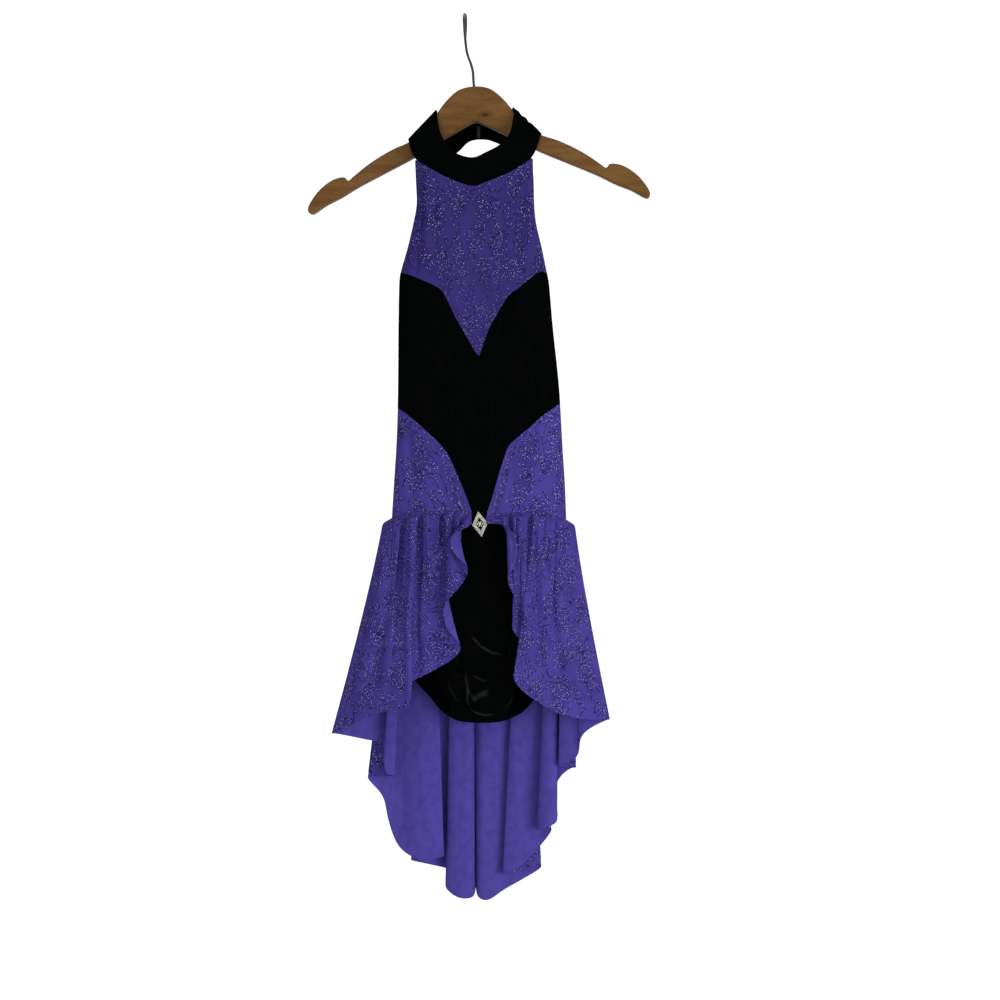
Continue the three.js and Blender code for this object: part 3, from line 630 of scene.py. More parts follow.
@dataclass(frozen=True)
class StretchKnit:
    """Violet stretch knit, printed on its face with dotted roses and vines, and glitter specks
    whose light colour is partly the glitter's own and partly a painted glint.
    """

    face: Knit
    # Share by which ground and shade are darkened: painted shade, used for the halter.
    deep: float = 0.0
    ground: Colour = srgb(60, 50, 122)
    shade: Colour = srgb(54, 45, 113)
    ink: Colour = srgb(15, 10, 46)
    # Light colour of the glitter specks: partly the glitter's own, partly a painted glint.
    glitter_painted_glint: Colour = srgb(196, 186, 230)
    back: Colour = srgb(65, 57, 131)
    loop: float = 0.9
    loop_rise: Pair = (0.25, 0.0003)
    patch: float = 60.0
    patch_edge: Pair = (0.35, 0.65)
    back_patch: float = 14.0
    back_patch_edge: Pair = (0.35, 0.7)
    back_patch_depth: float = 0.55
    flower_pitch: float = 45.0
    flower_radius: float = 18.0
    flower_blur: float = 1.5
    flower_stray: float = 5.0
    flower_loose: float = 0.7
    petals: float = 5.0
    petal_depth: float = 0.36
    ring_pitch: float = 5.2
    ring_edge: Pair = (0.18, 0.1)
    vine_pitch: float = 18.0
    vine_lines: float = 6.0
    vine_edge: Pair = (0.2, 0.09)
    vine_patch: float = 26.0
    vine_patch_edge: Pair = (0.45, 0.53)
    vine_stray: float = 6.0
    stray_size: float = 8.0
    dot_pitch: float = 1.25
    dot_edge: Pair = (0.7, 0.45)
    ink_between: float = 0.3
    ink_on_dots: float = 0.5
    speck_pitch: float = 2.3
    speck_edge: Pair = (0.2, 0.12)
    speck_rarity: float = 0.99
    more_on_roses: float = 0.1
    more_on_lines: float = 0.24

    def made(self) -> Material:
        """The material of either face."""
        if self.face is Knit.PLAIN:
            return self.plain()
        s = Surface("printed_knit_painted_shade" if self.deep else "printed_knit")
        at = s.place_mm("UV")
        drift = s.noise(at, self.stray_size, 2, colour=True)
        drift = s.vector("SUBTRACT", drift, (0.5, 0.5, 0.5))
        strayed = s.vector("ADD", at, s.vector("SCALE", drift, scale=self.vine_stray))
        flower, petals = self.rose(s, at, drift)
        lines = s.math("MAXIMUM", s.times(flower, petals), self.vine(s, strayed))
        dots = s.step(s.cells(at, self.dot_pitch).outputs["Distance"], *self.dot_edge)
        depth = s.plus(self.ink_between, s.times(dots, self.ink_on_dots))
        ink = s.times(lines, depth)
        # Darkened by the deep share: painted shade.
        ground, shade = (
            tuple((1 - self.deep) * channel for channel in dye) for dye in (self.ground, self.shade)
        )
        ground = s.mix(s.step(s.noise(at, self.patch), *self.patch_edge), ground, shade)
        # The specks take a light colour: glitter, partly a painted glint.
        glitter_painted_glint = self.specks(s, at, flower, lines)
        colour = s.mix(glitter_painted_glint, s.mix(ink, ground, self.ink), self.glitter_painted_glint)
        s.wear(Base_Color=colour, Roughness=0.7, Specular_IOR_Level=0.05)
        s.bump(s.plus(s.noise(at, self.loop, 1), glitter_painted_glint), *self.loop_rise)
        return s.material

    def plain(self) -> Material:
        """The unprinted back, in faint patches."""
        s = Surface("knit_back")
        at = s.place_mm("UV")
        patches = s.step(s.noise(at, self.back_patch, 3), *self.back_patch_edge)
        tone = s.times(patches, self.back_patch_depth)
        colour = s.mix(tone, self.back, self.shade)
        s.wear(Base_Color=colour, Roughness=0.8, Specular_IOR_Level=0.04)
        s.bump(s.noise(at, self.loop, 1), *self.loop_rise)
        return s.material

    def rose(self, s: Surface, at: object, drift: object) -> tuple[object, object]:
        """Loose roses: where they are, and the spiral outlines of their petals."""
        cell = s.cells(at, self.flower_pitch, self.flower_loose)
        scaled = s.vector("SCALE", at, scale=1 / self.flower_pitch)
        away = s.vector("SUBTRACT", scaled, cell.outputs["Position"])
        away = s.vector("SCALE", away, scale=self.flower_pitch)
        away = s.vector("ADD", away, s.vector("SCALE", drift, scale=self.flower_stray))
        radius = s.vector("LENGTH", away)
        across, up, _ = s.split(away)
        angle = s.math("ARCTAN2", up, across)
        wave = s.math("SINE", s.times(angle, self.petals))
        turns = s.math("DIVIDE", angle, math.tau)
        phase = s.plus(s.math("DIVIDE", radius, self.ring_pitch), turns)
        phase = s.plus(phase, s.times(wave, self.petal_depth))
        rings = s.step(s.math("PINGPONG", phase, 0.5), *self.ring_edge)
        outer, inner = self.flower_radius + self.flower_blur, self.flower_radius - self.flower_blur
        return s.step(radius, outer, inner), rings

    def vine(self, s: Surface, at: object) -> object:
        """Wandering vine and leaf outlines in patches between the roses."""
        phase = s.times(s.noise(at, self.vine_pitch, 0), self.vine_lines)
        line = s.step(s.math("PINGPONG", phase, 0.5), *self.vine_edge)
        patches = s.step(s.noise(at, self.vine_patch, 1), *self.vine_patch_edge)
        return s.times(line, patches)

    def specks(self, s: Surface, at: object, flower: object, lines: object) -> object:
        """Glitter specks, which lie closer on the roses and on the vines; their light colour is
        partly a painted glint.
        """
        cell = s.cells(at, self.speck_pitch)
        chance = s.split(cell.outputs["Color"])[0]
        closer = s.plus(s.times(flower, self.more_on_roses), s.times(lines, self.more_on_lines))
        picked = s.math("GREATER_THAN", chance, s.math("SUBTRACT", self.speck_rarity, closer))
        return s.times(s.step(cell.outputs["Distance"], *self.speck_edge), picked)


@dataclass(frozen=True)
class StretchVelvet:
    """Black stretch velvet, whose pile takes almost all the light; its gleam along the creases'
    ridges is a painted highlight.
    """

    pile: Colour = srgb(3, 4, 4)
    brushed: Colour = srgb(5, 5, 6)
    # Painted highlight: the colour laid on the crease ridges in place of the pile's sheen.
    painted_gloss: Colour = srgb(31, 31, 33)
    pile_size: float = 0.7
    brush_size: float = 26.0
    brush_edge: Pair = (0.45, 0.7)
    painted_gleam_edge: Pair = (0.3, 1.6)
    painted_gleam_patch_size: float = 20.0
    painted_gleam_patch_edge: Pair = (0.2, 0.5)

    def made(self) -> Material:
        """The material."""
        s = Surface("black_velvet")
        at = s.place_mm("UV")
        brushed = s.step(s.noise(at, self.brush_size, 3), *self.brush_edge)
        # The creases' lift marks where the painted highlight goes.
        painted_gleam_lift = s.node("ShaderNodeAttribute", {}, attribute_name="painted_gleam_lift").outputs["Fac"]
        patches = s.step(s.noise(at, self.painted_gleam_patch_size, 1), *self.painted_gleam_patch_edge)
        # Crease ridges in broken patches are painted lighter: a painted highlight, not the pile's
        # colour.
        painted_gleam = s.times(s.step(painted_gleam_lift, *self.painted_gleam_edge), patches)
        colour = s.mix(painted_gleam, s.mix(brushed, self.pile, self.brushed), self.painted_gloss)
        s.wear(Base_Color=colour, Roughness=0.55)
        s.wear(Specular_IOR_Level=0.0, Sheen_Weight=0.001, Sheen_Roughness=0.4)
        s.bump(s.noise(at, self.pile_size, 2), 0.3, 0.0004)
        return s.material


@dataclass(frozen=True)
class Beech:
    """Pale varnished wood, with grain along the arms and a small knot."""

    pale: Colour = srgb(103, 73, 38)
    dark: Colour = srgb(88, 58, 26)
    heart: Colour = srgb(52, 27, 12)
    knot: Triple = (25.8, -7.0, -129.2)
    knot_shape: Triple = (0.42, 0.0, 1.0)
    knot_push: float = 36.4
    knot_soft: float = 5.0
    knot_halo: Pair = (6.5, 1.4)
    halo_depth: float = 0.55
    knot_heart: Pair = (1.9, 0.9)
    stretch: float = 0.05
    broad_grain: float = 9.0
    fine_grain: float = 1.1
    fine_share: float = 0.3
    grain_edge: Pair = (0.35, 0.65)

    def made(self) -> Material:
        """The material."""
        s = Surface("hanger_wood")
        at = s.place_mm("Object")
        off = s.vector("MULTIPLY", s.vector("SUBTRACT", at, self.knot), self.knot_shape)
        near = s.vector("LENGTH", off)
        push = s.math("DIVIDE", self.knot_push, s.plus(near, self.knot_soft))
        x, y, z = s.split(at)
        along = s.times(x, self.stretch)
        up = s.plus(z, push)
        grain_at = s.node("ShaderNodeCombineXYZ", {0: along, 1: y, 2: up}).outputs[0]
        broad = s.noise(grain_at, self.broad_grain, 3)
        fine = s.noise(grain_at, self.fine_grain, 2)
        tone = s.plus(s.times(broad, 1 - self.fine_share), s.times(fine, self.fine_share))
        colour = s.mix(s.step(tone, *self.grain_edge), self.pale, self.dark)
        halo = s.times(s.step(near, *self.knot_halo), self.halo_depth)
        colour = s.mix(halo, colour, self.heart)
        colour = s.mix(s.step(near, *self.knot_heart), colour, self.heart)
        s.wear(Base_Color=colour, Roughness=0.5, Specular_IOR_Level=0.1)
        s.bump(fine, 0.15, 0.0003)
        return s.material


@dataclass(frozen=True)
class Metal:
    """A metal finish with fine wear."""

    name: str
    colour: Colour
    roughness: float
    wear_size: float = 2.5
    wear_rough: float = 0.12
    wear_dim: float = 0.7

    def made(self) -> Material:
        """The material."""
        s = Surface(self.name)
        worn = s.noise(s.place_mm("Object"), self.wear_size, 3)
        rough = s.plus(self.roughness - self.wear_rough / 2, s.times(worn, self.wear_rough))
        dim = tuple(self.wear_dim * channel for channel in self.colour)
        s.wear(Base_Color=s.mix(worn, self.colour, dim), Roughness=rough, Metallic=1.0)
        s.bump(worn, 0.1, 0.0001)
        return s.material


@dataclass(frozen=True)
class Rhinestone:
    """Foiled clear glass stones, each patch a little lighter or darker than the next: painted
    reflections on the facets, over the foil's pale colour.
    """

    light: Colour = srgb(244, 240, 220)
    dark: Colour = srgb(84, 78, 62)
    painted_glint_size: float = 0.9
    painted_glint_edge: Pair = (0.46, 0.62)

    def made(self) -> Material:
        """The material."""
        s = Surface("rhinestone")
        # Light and dark facet patches: partly the foil's pale colour, partly painted reflections.
        tone = s.step(s.noise(s.place_mm("Object"), self.painted_glint_size, 1), *self.painted_glint_edge)
        s.wear(Base_Color=s.mix(tone, self.light, self.dark), Roughness=0.15, Metallic=0.15)
        return s.material


@dataclass(frozen=True)
class Tape:
    """Grey woven hook and loop tape."""

    colour: Colour = srgb(60, 62, 60)
    dark: Colour = srgb(22, 23, 23)
    yarn: float = 0.8

    def made(self) -> Material:
        """The material."""
        s = Surface("closing_tape")
        weave = s.noise(s.place_mm("Object"), self.yarn, 2)
        s.wear(Base_Color=s.mix(weave, self.colour, self.dark), Roughness=0.85)
        s.bump(weave, 0.5, 0.0004)
        return s.material


@dataclass(frozen=True)
class Crease:
    """A soft ridge, or a trough where its height is below 0, along a line seen from the front."""

    line: tuple[Pair, ...]
    height: float
    width: float
    fade: float = 0.6

    def lift(self, places: Array) -> Array:
        """How far it lifts each place off the sheet.

        Args:
            places: points whose last axis holds x, y and z.

        Returns:
            The lift of each, in millimetres.
        """
        x, z = places[..., 0], places[..., 2]
        line = np.array(self.line, float)
        steps = np.hypot(*(line[1:] - line[:-1]).T)
        reached = np.concatenate(([0.0], np.cumsum(steps)))
        nearest = np.full(x.shape, np.inf)
        share = np.zeros(x.shape)
        for k, (a, b) in enumerate(zip(line[:-1], line[1:])):
            way = b - a
            t = np.clip(((x - a[0]) * way[0] + (z - a[1]) * way[1]) / (way @ way), 0, 1)
            away = np.hypot(x - a[0] - t * way[0], z - a[1] - t * way[1])
            closer = away < nearest
            nearest = np.where(closer, away, nearest)
            share = np.where(closer, (reached[k] + t * steps[k]) / reached[-1], share)
        faded = np.clip(4 * share * (1 - share), 0, 1) ** self.fade
        return self.height * faded * np.exp(-((nearest / self.width) ** 2))


def creased(*rows: tuple) -> tuple[Crease, ...]:
    """Creases from rows, each of which gives its line's places and then its height and width."""
    return tuple(Crease(tuple(line), height, width) for *line, height, width in rows)


@dataclass(frozen=True)
class Goods:
    """What a piece is cut from: its two faces, the record's slot and its wall."""

    face: Material
    back: Material
    slot: str
    wall: float


def placed(name: str, bm: BMesh, *materials: Material) -> Piece:
    """Ends a mesh: an object at the origin of the scene, with its materials."""
    mesh = bpy.data.meshes.new(name)
    bm.to_mesh(mesh)
    bm.free()
    for material in materials:
        mesh.materials.append(material)
    piece = bpy.data.objects.new(name, mesh)
    bpy.context.scene.collection.objects.link(piece)
    return piece


@dataclass
class Cloth:
    """One cut piece of cloth as it hangs: a thin shell with a face and a back."""

    name: str
    places: Array
    goods: Goods
    rests_on: tuple[str, ...] = ()
    creases: tuple[Crease, ...] = ()
    held: str = "hung"
    ring: bool = False
    fan: float = 0.0
    hem: float = 0.0
    hem_dip: float = 0.5
    hem_stitch: float = 1.2
    edge: float = 0.12
    edge_angle: float = 60.0
    trim: bool = False
    # Whether the creases' lift is kept as an attribute for the velvet's painted highlight.
    paints_gleam: bool = False
    least_opening: float = 0.2
    least_fill: float = 0.3

    def pressed(self) -> tuple[Array, Array]:
        """The places with the creases pressed in and the hem turned up, and the creases' lift."""
        places = self.places
        across = np.gradient(places, axis=1)
        down = np.gradient(places, axis=0)
        normal = np.cross(down, across)
        normal /= np.maximum(np.linalg.norm(normal, axis=-1, keepdims=True), 1e-9)
        lift = sum((crease.lift(places) for crease in self.creases), np.zeros(places.shape[:2]))
        raised = lift
        if self.hem:
            left = np.flip(run_along(np.flip(places, 0), 0), 0)
            dip = np.exp(-(((left - self.hem) / self.hem_stitch) ** 2))
            lift = lift - self.hem_dip * dip
        return places + normal * lift[..., None], raised

    def flat_places(self, places: Array) -> Array:
        """Where each place lies on the flat cloth, in millimetres.

        A straight piece is laid out row by row from its middle column. A fan, such as a skirt, is
        laid out round the point where its straight threads meet.
        """
        down, across = run_along(places, 0), run_along(places, 1)
        if not self.fan:
            middle = places.shape[1] // 2
            return np.stack((across - across[:, middle:middle + 1], -down), axis=-1)
        share = across / across[:, -1:]
        seam_length = across[0, -1] * self.fan
        mean_drop = float(down[-1].mean())
        opening = max((across[-1, -1] - seam_length) / mean_drop, self.least_opening)
        radius = seam_length / opening + down
        angle = share * opening
        return np.stack((radius * np.sin(angle), -radius * np.cos(angle)), axis=-1)

    def made(self) -> Piece:
        """Builds the piece, attaches it to the body and hides the part that it stands for."""
        places, raised = self.pressed()
        flat = self.flat_places(places) * MM
        rows, columns = places.shape[:2]
        bm = bmesh.new()
        bmesh.ops.create_grid(bm, x_segments=columns - 1, y_segments=rows - 1, size=1)
        uv = bm.loops.layers.uv.new("cloth")
        # Crease lift, kept for the velvet's painted highlight.
        painted_gleam_lift = bm.verts.layers.float.new("painted_gleam_lift")
        index = {}
        for vert in bm.verts:
            j = round((vert.co.x + 1) / 2 * (columns - 1))
            i = round((1 - vert.co.y) / 2 * (rows - 1))
            index[vert.index] = (i, j)
            vert.co = Vector(places[i, j]) * MM
            vert[painted_gleam_lift] = max(float(raised[i, j]), 0.0) if self.paints_gleam else 0.0
        for face in bm.faces:
            face.smooth = True
            for loop in face.loops:
                loop[uv].uv = flat[index[loop.vert.index]]
        if self.ring:
            bmesh.ops.remove_doubles(bm, verts=bm.verts, dist=1e-6)
        area = sum(face.calc_area() for face in bm.faces)
        piece = placed(self.name, bm, self.goods.face, self.goods.back)
        wall = piece.modifiers.new("wall", "SOLIDIFY")
        wall.thickness = self.goods.wall * MM
        wall.offset = 0.0
        wall.material_offset = 1
        edge = piece.modifiers.new("edge", "BEVEL")
        edge.width = self.edge * MM
        edge.segments = 2
        edge.limit_method = "ANGLE"
        edge.angle_limit = math.radians(self.edge_angle)
        edge.harden_normals = True
        return self.declared(piece)

    def declared(self, piece: Piece) -> Piece:
        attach(piece, BODY)
        if self.name.endswith("_cloth"):
            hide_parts(self.name.removesuffix("_cloth"))
        if self.trim:
            return piece
        return piece


def turned_in(name: str, turn: Array, top: Array, bottom: Array, rows: int, goods: Goods,
              inset: float = ALLOWANCE_INSET) -> Piece:
    """The turned-in cloth behind a seam.

    Args:
        name: the piece's name.
        turn: the turns of its columns.
        top: its upper edge at each of them.
        bottom: its lower edge at each of them.
        rows: its rows.
        goods: the cloth that is turned in.
        inset: how far inside the body it lies.

    Returns:
        The piece.
    """
    z = top + (bottom - top) * np.linspace(0, 1, rows)[:, None]
    places = body_point(np.broadcast_to(turn, z.shape), z, -inset)
    inner = replace(goods, face=goods.back, wall=ALLOWANCE_WALL)
    return Cloth(name, places, inner, trim=True).made()


def soft_noise(turn: Array, seed: int, waves: int, low: float, high: float) -> Array:
    """An uneven run of waves round the body.

    Args:
        turn: turns in degrees.
        seed: which run it is.
        waves: how many waves are summed.
        low: the fewest waves in a full turn.
        high: the most.

    Returns:
        Values of about 1 at most.
    """
    dice = random.Random(seed)
    total = np.zeros(np.shape(turn))
    for _ in range(waves):
        rate = dice.uniform(low, high)
        total = total + np.sin(np.radians(turn) * rate + dice.uniform(0, math.tau))
    return total / waves


@dataclass
class Leotard:
    """The fitted part: halter, midriff, hips, low back and trunk."""

    knit: Goods
    halter_knit_painted_shade: Goods
    velvet: Goods
    left_hip_end: float = 87.4
    right_hip_start: float = 93.0
    halter_creases: tuple[Crease, ...] = creased(
        ((-57, -196), (-56, -250), (-60, -300), (-63, -338), -4.0, 4.0),
        ((-47, -198), (-46, -260), (-48, -325), 1.6, 6.0),
        ((-36, -208), (-38, -250), (-42, -300), -1.0, 4.0),
        ((76, -200), (74, -240), (69, -300), (64, -350), -4.5, 6.5),
        ((60, -212), (57, -270), (54, -335), 1.8, 8.0),
        ((85, -205), (84, -260), (86, -310), 1.6, 3.5),
        ((-14, -222), (-18, -280), (-24, -340), 1.2, 11.0),
        ((28, -225), (26, -290), (22, -380), -1.4, 9.0),
    )
    hip_creases: tuple[Crease, ...] = creased(
        ((-74, -525), (-68, -580), (-66, -636), -2.0, 5.0),
        ((-52, -545), (-48, -590), (-46, -636), 1.4, 6.0),
        ((-34, -565), (-30, -600), (-28, -634), -1.4, 4.0),
        ((58, -560), (60, -600), (62, -634), -1.4, 5.0),
        ((92, -535), (88, -580), (86, -634), 1.6, 7.0),
    )
    trunk_creases: tuple[Crease, ...] = creased(
        ((10, -797), (20, -809), (33, -817), (53, -821), 1.6, 1.6),
        ((4, -792), (11, -800), (18, -806), 0.8, 1.4),
        ((54, -810), (58, -817), (57, -824), 0.9, 1.6),
        ((6, -841), (13, -848), (22, -853), (32, -854), 1.2, 1.5),
        ((3, -836), (1, -850), (4, -866), (3, -879), (8, -892), 1.2, 1.7),
        ((4, -864), (9, -874), (15, -880), 0.6, 2.2),
        ((6, -889), (14, -895), (26, -898), (40, -897), 1.3, 1.5),
        ((8, -881), (19, -872), (33, -864), 1.0, 4.6),
        ((-24, -846), (-20, -862), (-12, -876), (-1, -889), 0.8, 1.8),
        ((-15, -858), (-8, -868), (-1, -876), 0.8, 1.5),
        ((-20, -848), (-10, -846), (0, -850), 0.7, 1.6),
        ((40, -897), (52, -890), (60, -878), (62, -866), 0.8, 2.2),
        ((-12, -800), (-10, -825), (-6, -846), 0.6, 4.5),
        ((-22, -815), (-24, -838), 0.55, 4.0),
        ((22, -868), (30, -876), (26, -886), 0.6, 4.0),
        ((52, -836), (56, -850), (52, -866), 0.5, 3.0),
        ((48, -700), (50, -750), (44, -800), -1.6, 8.0),
        ((24, -824), (14, -836), (4, -846), -1.6, 4.0),
        ((44, -830), (42, -846), (36, -860), -2.0, 4.0),
        ((-8, -856), (-6, -868), (0, -882), -1.2, 3.0),
    )

    def panel(self, name: str, goods: Goods, span: Pair, edges: tuple[Callable, Callable],
              shape: Grid, creases: tuple[Crease, ...] = ()) -> Piece:
        """A panel between two turns and two seam lines.

        Args:
            name: the node that it stands for.
            goods: what it is cut from.
            span: the turns that it lies between.
            edges: its top and bottom heights, as functions of the turn.
            shape: its rows and columns.
            creases: its creases.

        Returns:
            The piece.
        """
        turn = np.linspace(*span, shape[1] + 1)
        top, bottom = (edge(turn) for edge in edges)
        z = top + (bottom - top) * np.linspace(0, 1, shape[0] + 1)[:, None]
        places = body_point(np.broadcast_to(turn, z.shape), z)
        rests = ("collar",) if name == "halter_front" else ("halter_front",)
        return Cloth(f"{name}_cloth", places, goods, rests, creases).made()

    def trunk(self, name: str, rows: Table, facing: float, shape: Grid) -> Piece:
        """One panel of the trunk, from the skirt seam down to the crotch.

        Args:
            name: the node that it stands for.
            rows: its sections.
            facing: 1 for the front panel and -1 for the back one.
            shape: its rows and columns.

        Returns:
            The piece.
        """
        last = len(rows["z"]) - 1
        indexed = {**rows, "index": np.arange(last + 1.0)}
        at = (np.linspace(0, 1, shape[0] + 1) * last)[:, None]
        turn = np.pi * np.linspace(0, 1, shape[1] + 1)
        z, left, right, edge, middle, sag = (
            smooth_at(indexed, "index", at, column) for column in rows
        )
        bulge = np.maximum(np.sin(turn), 0) ** ROUNDNESS
        x = (right + left) / 2 - facing * (right - left) / 2 * flattened(np.cos(turn))
        y = edge + (middle - edge) * bulge
        places = np.stack(np.broadcast_arrays(x, y, z - sag * bulge), axis=-1)
        creases = self.trunk_creases if facing > 0 else ()
        # Only the front's creases carry the velvet's painted highlight.
        return Cloth(f"{name}_cloth", places, self.velvet, ("midriff_front",), creases,
                     paints_gleam=True).made()

    def build(self) -> list[Piece]:
        """Builds every panel."""
        front = (LEFT_SEAM + SEAM_TURN, RIGHT_SEAM - SEAM_TURN)
        rear = (RIGHT_SEAM + SEAM_TURN, 360 + LEFT_SEAM - SEAM_TURN)
        under_collar = seam(-1, COLLAR_LINE)
        hip = (seam(-1, HIP_LINE), seam(1, SKIRT_SEAM, SKIRT_SEAM_BACK))
        return [
            self.panel("halter_front", self.halter_knit_painted_shade, ROLLED_SPAN,
                       (lambda turn: under_collar(turn) - COLLAR_CLEAR, seam(1, SWEETHEART_LINE)),
                       (80, 260), self.halter_creases),
            self.panel("midriff_front", self.velvet, front,
                       (seam(-1, SWEETHEART_LINE), seam(1, HIP_LINE)), (70, 260)),
            self.panel("hip_left", self.knit, (front[0], self.left_hip_end), hip, (60, 90),
                       self.hip_creases),
            self.panel("hip_right", self.knit, (self.right_hip_start, front[1]), hip, (60, 60),
                       self.hip_creases),
            self.panel("back_bodice", self.velvet, rear,
                       (seam(-1, SWEETHEART_LINE, BACK_TOP), seam(1, HIP_LINE, HIP_SEAM_BACK)),
                       (60, 170)),
            self.panel("hip_back", self.knit, rear,
                       (seam(-1, HIP_LINE, HIP_SEAM_BACK), hip[1]), (60, 170)),
            self.trunk("trunk_front", TRUNK_FRONT, 1, (160, 200)),
            self.trunk("trunk_back", TRUNK_BACK, -1, (120, 80)),
            *self.seam_allowances(front, rear),
            *self.side_allowances(),
        ]

    def seam_allowances(self, front: Pair, rear: Pair) -> list[Piece]:
        """The turned-in edges behind the seams that run round the body."""
        made = []
        for name, span, line, inset in (
            ("collar", ROLLED_SPAN, seam(0, COLLAR_LINE), COLLAR_ALLOWANCE_INSET),
            ("sweetheart", front, seam(0, SWEETHEART_LINE), ALLOWANCE_INSET),
            ("hip", front, seam(0, HIP_LINE), ALLOWANCE_INSET),
            ("back_hip", rear, seam(0, HIP_LINE, HIP_SEAM_BACK), ALLOWANCE_INSET),
        ):
            turn = np.linspace(*span, int(span[1] - span[0]))
            z = line(turn)
            made.append(turned_in(f"{name}_seam_allowance", turn, z + ALLOWANCE_REACH,
                                  z - ALLOWANCE_REACH, 5, self.velvet, inset))
        return made

    def side_allowances(self) -> list[Piece]:
        """The turned-in edges behind the side seams."""
        made = []
        for side, middle in (("left", LEFT_SEAM), ("right", RIGHT_SEAM)):
            turn = np.linspace(middle - SIDE_REACH, middle + SIDE_REACH, 9)
            top, hip = height_at(SWEETHEART_LINE, turn, 0), height_at(HIP_LINE, turn, 0)
            bottom = seam(0, SKIRT_SEAM, SKIRT_SEAM_BACK)(turn % 360)
            made.append(turned_in(f"{side}_bodice_allowance", turn, top, hip, 30, self.velvet))
            made.append(turned_in(f"{side}_hip_allowance", turn, hip, bottom, 30, self.knit))
        return made


@dataclass
class Collar:
    """The doubled stand collar, which hangs on the hanger's arms, and its closing tape."""

    velvet: Goods
    tape: Goods
    shape: Grid = (24, 240)
    around: float = 0.748
    wrinkles: tuple[Crease, ...] = creased(
        ((62, -133), (73, -121), 0.8, 2.8),
        ((67, -138), (77, -126), -0.6, 2.6),
        ((71, -142), (83, -129), 1.0, 3.2),
        ((76, -146), (85, -135), -0.7, 2.6),
        ((79, -150), (90, -137), 0.8, 3.0),
        ((84, -154), (96, -142), 0.6, 3.4),
        ((-62, -166), (-50, -148), 0.8, 3.6),
        ((-20, -212), (-4, -192), 0.7, 6.0),
        ((34, -214), (40, -180), -0.7, 5.0),
    )
    tape_width: float = 0.0085
    tape_from: float = 0.66
    tape_to: float = 0.97
    tape_clear: float = 1.7 * SEAM_GAP
    rolled: float = 0.9

    def at(self, u: Array, v: Array) -> Array:
        """Places on the band: once round the neck by u, and from rim to base by v."""
        rim, base = (
            SmoothLine(points_of(COLLAR_STATIONS, f"{edge}_x {edge}_y {edge}_z"), closed=True)
            for edge in ("rim", "base")
        )
        u, v = np.broadcast_arrays(u, v)
        return rim.at(u) * (1 - v[..., None]) + base.at(u) * v[..., None]

    def build(self) -> list[Piece]:
        """Builds the band and its tape."""
        rows, columns = self.shape
        places = self.at(np.linspace(0, 1, columns + 1), np.linspace(0, 1, rows + 1)[:, None])
        band = Cloth("collar_cloth", places, self.velvet, ("hanger_body",), self.wrinkles,
                     ring=True, edge=self.rolled).made()
        return [band, self.closure()]

    def closure(self) -> Piece:
        """The tape inside the band, at the nape."""
        inset = self.velvet.wall / 2 + self.tape_clear + self.tape.wall / 2
        u = self.around + (np.linspace(0, 1, 7) - 0.5) * self.tape_width
        v = np.linspace(self.tape_from, self.tape_to, 25)[:, None]
        places = self.at(u, v) - np.array([0, inset, 0])
        return Cloth("collar_closure_cloth", places, self.tape, trim=True).made()


